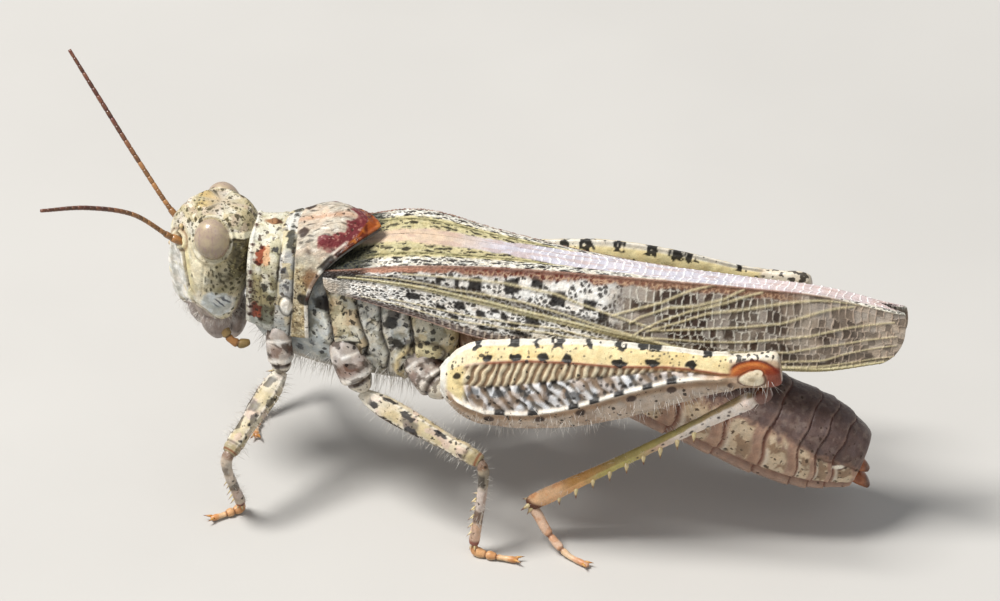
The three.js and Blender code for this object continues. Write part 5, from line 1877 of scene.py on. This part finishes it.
def make_jumping_thigh(side):
    line = Line(LEGS["hind", side]["thigh"])
    axis = (0, math.cos(LEAN), side * math.sin(LEAN))

    def shape(T, A):
        tall = np.array(HIND_UP) * (1.28 if side == RIGHT else 1.0)
        share = swell(T, 8) * through(HIP_ROUND, T)
        return tube(line, T, A, axis, HIND_THIN, tall, HIND_DOWN, share, 2.05)

    skin = Skin(190, 430, shape, crowd=0.5)
    p = skin.home
    T, A = skin.T, skin.A
    out = np.cos(A) * side
    h = np.sin(A)
    outer = rise(out, -0.15, 0.1)
    length = line.length * T
    body = between(T - 0.03 * h, 0.06, 0.84, 0.04)
    keel = through(MIDDLE_KEEL, T)
    low_rim = through(LOWER_KEEL, T)
    middle = keel + (low_rim - keel) * through([(0.1, 0.5), (0.27, 0.42), (0.44, 0.36), (0.65, 0.32)], T)
    broad = along(HIND_UP, T)
    away_keel = (h - keel) * broad
    away_middle = (h - middle) * broad
    away_low = (h - low_rim) * broad
    knee = rise(T, 0.845, 0.87)
    stem = rise(T, 0.7, 0.84)

    bars = np.sin(2 * math.pi * (length - 0.5 * away_middle + 0.22 * noise(p, 0.4, 6)) / 0.42)
    lumps = np.sin(2 * math.pi * (length + 0.7 * away_middle) / 0.64 + 4 * noise(p, 0.5, 7))
    lumps = lumps * (0.4 + noise(p, 0.45, 8)) + 1.2 * (noise(p, 0.4, 35) - 0.5)
    field = fall(away_keel, -0.1, -0.02) * rise(away_low, 0.06, 0.16) * outer * body
    field_up = field * rise(away_middle, -0.08, 0.06)
    field_low = field - field_up
    height = 0.09 * hump(away_keel, 0.09) * outer * body
    height += 0.15 * hump(A - math.pi / 2, 0.1) * (1 - knee)
    height += 0.2 * hump(away_low, 0.09) * outer * body
    height += (0.05 * bars * field_up + 0.07 * lumps * field_low) * (1 - stem)
    height -= 0.06 * hump(away_middle, 0.08) * field
    height += 0.14 * hump(A - 1.5 * math.pi, 0.1) * (1 - knee)
    height += 0.03 * (noise(p, 0.18, 4) - 0.5) + 0.04 * (rough(p, 0.6, 5) - 0.5)
    from_knee = (T - KNEE_AT) * line.length
    socket = oval(from_knee, 0, 0.76, h, -0.32, 0.55)
    height += 0.1 * fall(socket, 0.5, 1.05) * knee
    skin.lift(height)

    q = wobble(p, 0.1, 0.35, 21)
    around_mm = h * broad
    face = np.stack([length, around_mm], -1)
    mark_at = length * MARKED_LENGTH / line.length
    skin.wash(1, "cdb9a2")
    inner = 1 - outer
    skin.wash(0.9 * inner, "b59a72")
    skin.wash(0.9 * inner * rise(h, 0.3, 0.6), "dccf9e")
    bands = between(T, 0.28, 0.42, 0.05) + between(T, 0.56, 0.68, 0.05)
    skin.wash(0.85 * inner * bands * fall(h, 0.3, 0.5), INK)
    # belly of the thigh
    under = fall(away_low, -0.1, 0.0)
    skin.wash(0.8 * under * hump(away_low + 0.3, 0.2), "93765c")
    skin.wash(0.6 * under * rise(-away_low, 0.4, 0.6), "b4aaa2")
    skin.mottle(0.5 * under, q, 0.6, 27, 0.5, 0.62, "a58a74")
    for place in UNDER_SPOTS:
        spot = oval(mark_at, place, 0.3, away_low, -0.45, 0.2)
        skin.wash(0.9 * fall(spot, 0.7, 1.1) * under, "3a2a26")
    # slanted bars above the middle of the outer face, pale lumps below it
    share = rise(bars, -0.6, 0.5)[..., None]
    skin.wash(0.95 * field_up, tone("7f6950") * (1 - share) + tone("d0c4a8") * share)
    skin.mottle(0.3 * field_up, q, 0.3, 28, 0.5, 0.7, "5a4434")
    # below the middle: pale lumps, with the dark between them partly the skin's own grey and partly
    # painted shade in the hollows between the lumps
    share = rise(lumps, -0.6, 0.3)[..., None]
    skin.wash(0.95 * field_low, tone("6b6660") * (1 - share) + tone("dde0e4") * share)
    skin.mottle(0.75 * field_low, q, 0.35, 36, 0.6, 0.7, "3a3c40")
    skin.mottle(0.5 * field_low, q, 0.5, 29, 0.55, 0.7, "a58a70")
    dots = cells(face / 0.34, 23)
    dot = fall(dots[0], 0.2, 0.34) * (dots[2] < 0.42)
    skin.wash(0.85 * dot * field_low, "2a2522")
    row = cells(np.stack([length / 0.95, around_mm * 0], -1), 30)
    knots = hump(away_middle + 0.03, 0.16) * fall(row[0], 0.14, 0.24) * field
    skin.wash(0.96 * knots, "0f0b0c")
    skin.wash(0.85 * field * stem, "c9b29b")
    # butter-coloured face above the keel
    upper = rise(away_keel, 0.02, 0.09) * outer
    skin.wash(0.92 * upper, "dccb9a")
    skin.mottle(0.5 * upper, q, 0.8, 31, 0.5, 0.65, "d0b87e")
    skin.wash(0.6 * upper * fall(T, 0.06, 0.14), "e0dac4")
    front_cream = fall(length, 1.15, 1.5) * outer * rise(away_low, 0.05, 0.15)
    skin.wash(0.92 * front_cream * (1 - upper), "dccb98")
    spot = oval(length, 0.95, 0.24, h, 0.3, 0.13) + 0.5 * (noise(p, 0.2, 41) - 0.5)
    skin.wash(0.95 * fall(spot, 0.7, 1.1) * outer, "120f10")
    tiny = cells(face / 0.24, 24)
    skin.wash(0.8 * upper * fall(tiny[0], 0.14, 0.28) * (tiny[2] < 0.3), "1c1613")
    top = rise(h + 0.03 * (noise(q, 0.4, 33) - 0.5), 0.945, 0.975) * rise(out, -0.3, -0.1)
    skin.wash(0.9 * top * (1 - knee), "d9d6cc")
    line_thick = 0.06 + 0.03 * noise(p, 0.6, 37)
    skin.wash(0.95 * hump(away_keel / line_thick, 1) * outer * rise(T, 0.11, 0.16), "7c3d1c")
    skin.wash(0.6 * hump(away_keel + 0.1, 0.07) * outer * rise(T, 0.5, 0.7), "b98048")
    for place in KEEL_SPOTS:
        spot = oval(mark_at, place, 0.34, away_keel, 0.2, 0.2)
        spot = spot + 1.1 * (noise(p, 0.2, 38) - 0.5)
        skin.wash(0.98 * fall(spot, 0.75, 1.05) * outer, "0d0b0d")
    for place, half in TOP_BLOCKS:
        ragged_place = mark_at - place + 0.55 * (noise(p, 0.17, 39) - 0.5)
        block = between(ragged_place, -half, half, 0.08)
        depth = h + 0.12 * (noise(p, 0.2, 40) - 0.5)
        skin.wash(0.96 * block * rise(depth, 0.9, 0.93) * (1 - knee), "0c0b0d")
    skin.wash(0.97 * hump(away_low, 0.12) * outer * body * fall(T, 0.74, 0.8), "f0ede4")
    for place in RIM_BLOCKS:
        block = between(mark_at - place, -0.27, 0.27, 0.12)
        skin.wash(0.97 * between(away_low - 0.02, -0.15, 0.15, 0.1) * block * outer, "0c0a0d")
    skin.wash(0.9 * fall(T, 0.015, 0.03), CHALK)
    # knee: an orange crescent with a glossy dark red rim, and a cream knuckle
    skin.wash(0.9 * knee, "b49c86")
    skin.wash(0.9 * knee * rise(h, 0.55, 0.75), "dcd4c2")
    skin.mottle(0.9 * knee * rise(h, 0.5, 0.7), q, 0.17, 34, 0.58, 0.64, "1f1916")
    crescent = oval(from_knee, 0, 1.3, h, -0.3, 0.95)
    arch = rise(h, -0.25, 0.0) * knee * outer
    skin.wash(0.95 * fall(crescent, 0.98, 1.04) * arch, "a14e20")
    skin.wash(0.8 * hump(crescent - 0.84, 0.09) * arch, "c07a42")
    skin.wash(0.95 * hump(crescent - 1.04, 0.07) * arch, "541a10")
    skin.wash(0.85 * rise(T, 0.95, 0.965) * fall(h, 0.1, 0.4) * outer, "7a2a1a")
    small_lobe = np.hypot((T - 0.935) * line.length / 0.36, (h + 0.02) / 0.24)
    socket = np.minimum(socket, small_lobe)
    lobes = 0.05 * np.sin(3 * np.arctan2(h + 0.32, (T - KNEE_AT) * 18) + 1)
    skin.wash(0.95 * knee * outer * fall(socket + lobes, 0.72, 0.86), "ddd3ba")
    skin.wash(0.8 * knee * outer * hump(socket + lobes - 0.92, 0.08), "4a2a1c")
    skin.wash(0.6 * knee * outer * fall(socket, 0.12, 0.35), "8d7c5e")
    skin.values["fleck"] = (0.16 + 0.14 * under) * (1 - knee) * (1 - 0.5 * field)
    skin.values["gloss"] = 0.2 * knee
    return skin.make(f"hind_{SIDES[side]}_thigh", LEG_SKIN), skin


def make_shin(part, side):
    leg = LEGS[part, side]
    knee = np.array(leg["thigh"][-1]) + 0.25 * unit(np.subtract(leg["thigh"][-2], leg["thigh"][-1]))
    line = Line(leg["shin"] if part == "hind" else [knee, *leg["shin"]])
    hind = part == "hind"
    if hind:
        radii = [0.4, 0.42, 0.34, 0.3, 0.28, 0.28, 0.29, 0.33, 0.4, 0.42]
        rows, around = 330, 48
    else:
        radii = [0.28, 0.3, 0.27, 0.25, 0.25, 0.25, 0.25, 0.26, 0.28, 0.3]
        rows, around = 200, 40
    skin = tube_skin(around, rows, line, (0.1, 1, 0), radii, radii, tips=9, crowd=0.4)
    p = skin.home
    T, A = skin.T, skin.A
    h = -np.sin(A)
    length = line.length * T
    height = 0.03 * (noise(p, 0.18, 4) - 0.5)
    if hind:
        height -= 0.1 * hump(T - 0.065, 0.012)
        height += 0.05 * hump(T - 0.03, 0.02)
        for turn in (0.9, 2.24):
            height += 0.04 * around_line(A, turn, 0.22)
    skin.lift(height)
    q = wobble(p, 0.08, 0.3, 21)
    spots = cells(np.stack([length / 0.4, A / 0.9], -1), 25)
    spot = fall(spots[0], 0.16, 0.3)
    if hind:
        skin.wash(1, "e0d6cc")
        skin.wash(rise(T, 0.34, 0.5), "c4a58a")
        skin.wash(rise(T, 0.46, 0.58), "b3a866")
        skin.wash(rise(T, 0.68, 0.8), "d3a572")
        band_edge = 0.5 * fall(T, 0.2, 0.5) - 0.25 * (noise(q, 0.4, 7) - 0.5)
        band = rise(h - band_edge, 0.0, 0.25)
        skin.wash(0.9 * band, "947e52")
        skin.wash(0.8 * band * between(T, 0.3, 0.6, 0.2), "a0965c")
        skin.wash(0.8 * band * rise(T, 0.6, 0.76), "ab7e48")
        skin.wash(0.85 * rise(T, 0.8, 0.88), "d8b08a")
        skin.mottle(0.5 * rise(T, 0.8, 0.9), q, 0.4, 8, 0.5, 0.64, "c07a44")
        skin.wash(0.9 * fall(T, 0.05, 0.07), "5f2c1c")
        skin.wash(0.6 * hump(T - 0.09, 0.014), "e2cfc6")
        dark_dot = spot * (spots[2] < 0.55) * fall(h, 0.1, 0.4) * between(T, 0.1, 0.56, 0.04)
        skin.wash(0.93 * dark_dot, "2a1c1e")
        skin.wash(0.92 * rise(T - 0.02 * h, 0.955, 0.975), "451510")
        skin.values["gloss"] = 0.1 + 0.12 * rise(T, 0.4, 0.7)
        skin.values["fleck"] = 0.12 * fall(T, 0.3, 0.5)
    else:
        skin.wash(1, "bfb3a4")
        skin.mottle(0.7, q, 0.5, 6, 0.5, 0.62, "d4c8bc")
        streaks = noise(np.stack([length / 1.1, A * 1.3], -1), 1, 9)
        ragged = T + 0.05 * (noise(q, 0.3, 10) - 0.5)
        if part == "fore":
            skin.wash(0.6 * between(ragged, 0.2, 0.34, 0.04) * rise(streaks, 0.3, 0.5), "5a5044")
            skin.wash(0.75 * between(ragged, 0.52, 0.66, 0.04) * rise(streaks, 0.2, 0.4), "4a3f34")
            skin.wash(0.5 * between(ragged, 0.66, 0.85, 0.06), "b79c94")
        else:
            skin.wash(0.75 * between(ragged, 0.08, 0.3, 0.05), "7d7460")
            skin.wash(0.85 * between(ragged, 0.16, 0.32, 0.04) * rise(streaks, 0.4, 0.5), "3e3832")
            skin.wash(0.7 * between(ragged, 0.34, 0.56, 0.06), "d2c2ba")
            skin.wash(0.5 * between(ragged, 0.34, 0.56, 0.06) * rise(streaks, 0.55, 0.65), "8a6c5c")
            skin.wash(0.8 * between(ragged, 0.58, 0.74, 0.05) * rise(streaks, 0.25, 0.4), "5f4232")
            skin.wash(0.7 * between(ragged, 0.74, 0.94, 0.05), "d2a98c")
        skin.wash(0.85 * rise(T, 0.92, 0.96), "7a2c18")
        skin.wash(0.7 * fall(T, 0.09, 0.13), "6f4a32")
        skin.values["fleck"][:] = 0.3
        skin.values["gloss"][:] = 0.08
    return skin.make(f"{part}_{SIDES[side]}_shin", SHANK_HORN), skin


def make_spine():
    """One spine: a cone that leans back a little at its point."""
    pick_none()
    bpy.ops.mesh.primitive_cone_add(vertices=10, radius1=1, radius2=0.06, depth=1)
    model = newest("spine")
    bpy.ops.object.mode_set(mode="EDIT")
    for level in (-0.2, 0.1, 0.3):
        bpy.ops.mesh.select_all(action="SELECT")
        bpy.ops.mesh.bisect(plane_co=(0, 0, level), plane_no=(0, 0, 1))
    bpy.ops.object.mode_set(mode="OBJECT")
    co = read_points(model.data)
    share = co[:, 2] + 0.5
    co[:, 2] = share
    co[:, :2] *= (1 + 0.35 * np.sin(share * math.pi))[:, None]
    co[:, 0] += 0.5 * share**2
    write_points(model.data, co)
    return model


def spine_tints(base, body, point):
    share = rise(base[:, 2], 0.5, 0.8)[:, None]
    return body * (1 - share) + point * share


# The spines of a shin: how many in a row, where the row starts and ends, how far out they
# root, how thick and long they are, and how long the spurs at the end of the shin are.
SHIN_SPINES = {
    "hind": (9, 0.3, 0.93, 0.24, 0.125, 0.56, 0.6),
    "thin": (5, 0.35, 0.9, 0.2, 0.05, 0.42, 0.36),
}


def make_spines(part, side):
    """Spines in two rows along the shin, spurs at its end, and the claws of the foot."""
    hind = part == "hind"
    count, first, last, radius, thick, spine, spur = SHIN_SPINES["hind" if hind else "thin"]
    leg = LEGS[part, side]
    shin = Line(leg["shin"])
    foot = Line(leg["foot"])
    model = make_spine()
    base = read_points(model.data)
    frames, scales, tints = [], [], []
    body, point = tone("ddd0a0"), tone("4f1410")

    def add(root, way, long, thick, root_tone, point_tone, side_way=(0, 0, 1)):
        frames.append((np.array(root), set_on(way, side_way)))
        scales.append(np.array([thick, thick, long]))
        tints.append(spine_tints(base, root_tone, point_tone))

    down = shin.way(0.5)
    out = unit(np.cross(np.cross(down, (0, side, 0)), down))
    back = unit(np.cross(down, out))
    if (back[2] if hind else back[0]) > 0:
        back = -back
    for row in (-1, 1):
        for k in range(count):
            s = first + (last - first) * (k + 0.25 * (row > 0)) / count
            face = unit(back * 0.8 + out * row * 0.75)
            root = shin.at(s) + face * radius
            way = unit(face + 0.55 * shin.way(s))
            add(root, way, spine * (0.85 + 0.3 * rng.random()), thick, body, point)
    for row in (-1, 1):
        for tilt in (0.25, -0.5):
            face = unit(-back * tilt + out * row * 0.8)
            root = shin.at(0.985) + face * 0.2
            add(root, unit(face * 0.6 + shin.way(1.0)), spur * (1 + 0.2 * tilt), thick, body, point)
    end = foot.at(0.93)
    ahead = foot.way(1.0)
    across = unit(np.cross(ahead, (0, 0, 1)))
    for row in (-1, 1):
        root = end + across * row * 0.1 + np.array([0, 0, 0.06])
        way = unit(ahead + across * row * 0.45 + np.array([0, 0, 0.12]))
        add(root, way, 0.46, 0.07, tone("c98a3c"), tone("5a2412"), (0, 0, -1))
    name = f"{part}_{SIDES[side]}_spines"
    return copies(name, model, frames, scales, tints, SPINE_HORN)


def make_foot(part, side):
    leg = LEGS[part, side]
    line = Line([leg["shin"][-1], *leg["foot"]])
    hind = part == "hind"
    if hind:
        wide = [0.22, 0.27, 0.25, 0.25, 0.2, 0.22, 0.17, 0.15, 0.17, 0.16]
        tall = [0.24, 0.28, 0.26, 0.25, 0.19, 0.2, 0.16, 0.13, 0.16, 0.13]
        joints = (0.42, 0.62)
    else:
        wide = [0.16, 0.24, 0.26, 0.2, 0.24, 0.18, 0.14, 0.15, 0.18, 0.17]
        tall = [0.2, 0.26, 0.26, 0.19, 0.22, 0.17, 0.13, 0.14, 0.17, 0.14]
        joints = (0.36, 0.58)
    across = unit(np.cross(line.way(0.9), (0, 0, 1)))
    skin = tube_skin(40, 130, line, across, wide, tall, tips=6, crowd=0.4)
    T = skin.T
    necks = sum(hump(T - k, 0.018) for k in joints)
    skin.lift(0.02 * (noise(skin.home, 0.15, 5) - 0.5) - 0.06 * necks)
    skin.P[..., 2] = np.maximum(skin.P[..., 2], 0.0)
    q = wobble(skin.home, 0.08, 0.3, 5)
    skin.wash(1, "d3b49c" if hind else "d2a476")
    skin.mottle(0.45, q, 0.3, 6, 0.45, 0.6, "bb7c48")
    skin.wash(0.6 * between(T, 0.62, 0.8, 0.06), "dcc4a0")
    skin.wash(0.6 * fall(skin.z, 0.1, 0.2) * rise(T, 0.1, 0.2), "dcc9a8")
    skin.wash(0.8 * necks, "5a2e1a")
    skin.wash(0.5 * rise(T, 0.84, 0.92), "b87238")
    skin.values["gloss"][:] = 0.12
    return skin.make(f"{part}_{SIDES[side]}_foot", SHANK_HORN)


# ---- valves at the tail ---------------------------------------------------------------


def valve_paint(skin):
    skin.wash(1, "9a5a34")
    skin.wash(0.7 * noise(skin.home, 0.3, 4), "8a4a26")
    skin.wash(rise(skin.x, 18.5, 18.7), "3a1a10")


def make_valves():
    made = []
    for word, lift in (("upper", 0.45), ("lower", -0.42)):
        spine = [(17.7, 0, 3.3 + lift * 0.8), (18.4, 0, 2.85 + lift), (18.75, 0, 2.5 + lift * 1.2)]
        name = f"tail_valve_{word}"
        wide, tall = [0.66, 0.52, 0.24], [0.36, 0.31, 0.18]
        made.append(small_part(name, spine, wide, tall, VALVE_HORN, valve_paint))
    return made


# ---- hairs ----------------------------------------------------------------------------

HAIR_PATCH = 0.0015     # half the breadth of one hair's patch on the unwrapped skin
THIRD_OF_TURN = 2.094   # in radians


def hairs(name, skin, mask, count, length, sag, thick):
    """Thin tapered hairs rooted on a skin where mask allows, each a three-sided cone."""
    row_step = np.linalg.norm(np.gradient(skin.P, axis=0), axis=-1)
    ring_step = np.linalg.norm(np.roll(skin.P, -1, axis=1) - skin.P, axis=-1)
    weight = np.clip(mask, 0, None) * (skin.T > 0.01) * (skin.T < 0.99) * row_step * ring_step
    weight = weight.ravel() / weight.sum()
    picks = rng.choice(weight.size, size=count, p=weight)
    points = skin.P.reshape(-1, 3)[picks]
    normals = skin.normals().reshape(-1, 3)[picks]
    turns = skin.A.ravel()[picks] / (2 * math.pi)
    heights = skin.T.ravel()[picks]
    stray = rng.normal(0, 0.28, (count, 3))
    way = unit(normals + stray)
    long = length * (0.55 + 0.75 * rng.random(count))
    first = unit(np.cross(way, rng.normal(0, 1, (count, 3))))
    second = np.cross(way, first)
    rings = []
    for share, radius in ((-0.06, 1.0), (0.35, 0.8), (0.7, 0.5)):
        centre = points + way * (long * share)[:, None]
        centre[:, 2] -= sag * long * max(share, 0) ** 2
        for k in range(3):
            c, s = math.cos(THIRD_OF_TURN * k), math.sin(THIRD_OF_TURN * k)
            rings.append(centre + (first * c + second * s) * thick * radius)
    tip = points + way * long[:, None]
    tip[:, 2] -= sag * long
    rings.append(tip)
    verts = np.stack(rings, 1).reshape(-1, 3)
    verts[:, 2] = np.maximum(verts[:, 2], 0.02)
    faces = []
    for k in range(count):
        o = 10 * k
        faces.append((o + 2, o + 1, o))
        for level in (0, 3):
            for i in range(3):
                j = (i + 1) % 3
                faces.append((o + level + i, o + level + j, o + level + 3 + j, o + level + 3 + i))
        for i in range(3):
            faces.append((o + 6 + i, o + 6 + (i + 1) % 3, o + 9))
    piece = new_piece(name, verts, faces, HAIR)
    turn = THIRD_OF_TURN * (np.arange(10) % 3)
    reach_out = np.array([1.0] * 3 + [0.66] * 3 + [0.33] * 3 + [0.0])
    patch = np.stack([np.cos(turn), np.sin(turn)], -1) * reach_out[:, None] * HAIR_PATCH
    roots = np.clip(np.stack([turns, heights], -1), 0.003, 0.997)
    places = (roots[:, None] + patch[None]).reshape(-1, 2)
    unwrap = piece.data.uv_layers.new(name="OFBake")
    corners = np.empty(len(piece.data.loops), np.int32)
    piece.data.loops.foreach_get("vertex_index", corners)
    unwrap.data.foreach_set("uv", places[corners].astype(np.float32).ravel())
    return piece


# ---- putting it together --------------------------------------------------------------


def declare(piece, finish_slot, *nodes):
    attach(piece, "root")
    if nodes:
        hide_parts(*nodes)
    return piece


head, head_skin = make_head()
declare(head, "cuticle_speckled", "head")
declare(make_ocelli(), "feeler_amber")
for side, word in SIDES.items():
    declare(make_eye(side), "eye_shell", f"eye_{word}")
    declare(make_feeler(side), "feeler_amber", f"antenna_{word}")
for node, piece in make_mouth().items():
    piece_slot = "mouth_skin" if node.startswith(("lab", "palp")) else "mandible_grey"
    declare(piece, piece_slot, node)
declare(make_pronotum(), "cuticle_speckled", "pronotum")
chest, chest_skin = make_chest()
declare(chest, "cuticle_speckled", "prothorax", "mesothorax", "metathorax")
belly, belly_skin = make_belly()
declare(belly, "abdomen_skin", *[f"abdomen_{k}" for k in range(1, 10)])
for word, piece in zip(("upper", "lower"), make_valves()):
    declare(piece, "valve_horn", f"valve_{word}")
for side, word in SIDES.items():
    declare(make_wing(side), "wing_leather", f"tegmen_{word}")

thighs, shins = {}, {}
for part, side in LEGS:
    leg = f"{part}_{SIDES[side]}"
    hip, hip_skin = make_hip(part, side)
    declare(hip, "cuticle_cream", f"{leg}_coxa")
    if part == "hind":
        thigh, thighs[part, side] = make_jumping_thigh(side)
    else:
        thigh, thighs[part, side] = make_thin_thigh(part, side)
    declare(thigh, "cuticle_cream", f"{leg}_femur")
    shin, shins[part, side] = make_shin(part, side)
    declare(shin, "shank_ochre", f"{leg}_tibia")
    declare(make_foot(part, side), "shank_ochre", f"{leg}_tarsus")
    declare(make_spines(part, side), "shank_ochre")

below = fall(chest_skin.z, 7.9, 9.0)
declare(hairs("chest_hairs", chest_skin, below, 1100, 0.8, 0.25, 0.01), "cuticle_speckled")
below = fall(head_skin.z, 9.6, 10.4) * (head_skin.T > 0.02)
declare(hairs("mouth_hairs", head_skin, below, 500, 0.42, 0.2, 0.009), "mouth_skin")
for (part, side), skin in thighs.items():
    up = np.sin(skin.A)
    if part == "hind":
        mask, count, length, thick = fall(up, -0.75, -0.35), 420, 0.62, 0.011
    else:
        mask, count, length, thick = rise(np.abs(up), 0.3, 0.9), 230, 0.5, 0.009
    piece = hairs(f"{part}_{SIDES[side]}_thigh_hairs", skin, mask, count, length, 0.1, thick)
    declare(piece, "cuticle_cream")
for (part, side), skin in shins.items():
    everywhere = 0.3 + 0 * skin.T
    piece = hairs(f"{part}_{SIDES[side]}_shin_hairs", skin, everywhere, 130, 0.36, 0.1, 0.008)
    declare(piece, "shank_ochre")


# ---- floor, light and camera ----------------------------------------------------------


def make_floor():
    pick_none()
    bpy.ops.mesh.primitive_plane_add(size=1.6, location=(0, 0, 0))
    floor = newest("floor")
    floor.data.materials.append(floor_finish())


def aim(obj, target):
    way = Vector(target) - obj.location
    obj.rotation_euler = way.to_track_quat("-Z", "Y").to_euler()


def make_lamp(name, place, size, power, colour=(1, 1, 1)):
    lamp = bpy.data.lights.new(name, "AREA")
    lamp.shape = "DISK"
    lamp.size = size
    lamp.energy = power
    lamp.color = colour
    obj = bpy.data.objects.new(name, lamp)
    obj.location = place
    bpy.context.scene.collection.objects.link(obj)
    aim(obj, (0, 0, 0.01))


def make_world(level):
    world = bpy.data.worlds.new("room")
    world.use_nodes = True
    shade = world.node_tree.nodes["Background"].inputs
    shade["Color"].default_value = (0.93, 0.96, 1.0, 1)
    shade["Strength"].default_value = level
    bpy.context.scene.world = world


CAMERA_AWAY = 0.6       # in metres


def make_camera():
    """Looks down at the left flank from a little behind it."""
    camera = bpy.data.objects.new("camera", bpy.data.cameras.new("camera"))
    camera.data.lens = 432
    camera.data.sensor_width = 36
    camera.data.clip_end = 10
    target = Vector((*BODY_ZERO[:2], 11.4)) * MM
    camera.location = target + Vector((0.1266, -0.7991, 0.5878)) * CAMERA_AWAY
    aim(camera, target)
    bpy.context.scene.collection.objects.link(camera)
    bpy.context.scene.camera = camera


make_floor()
make_world(0.34)
make_lamp("key", (-0.24, -0.08, 0.5), 0.2, 4.1, (1.0, 0.99, 0.97))
make_lamp("fill", (0.3, -0.3, 0.4), 0.4, 0.3, (0.95, 0.97, 1.0))
make_camera()
bpy.context.scene.view_settings.view_transform = "Standard"
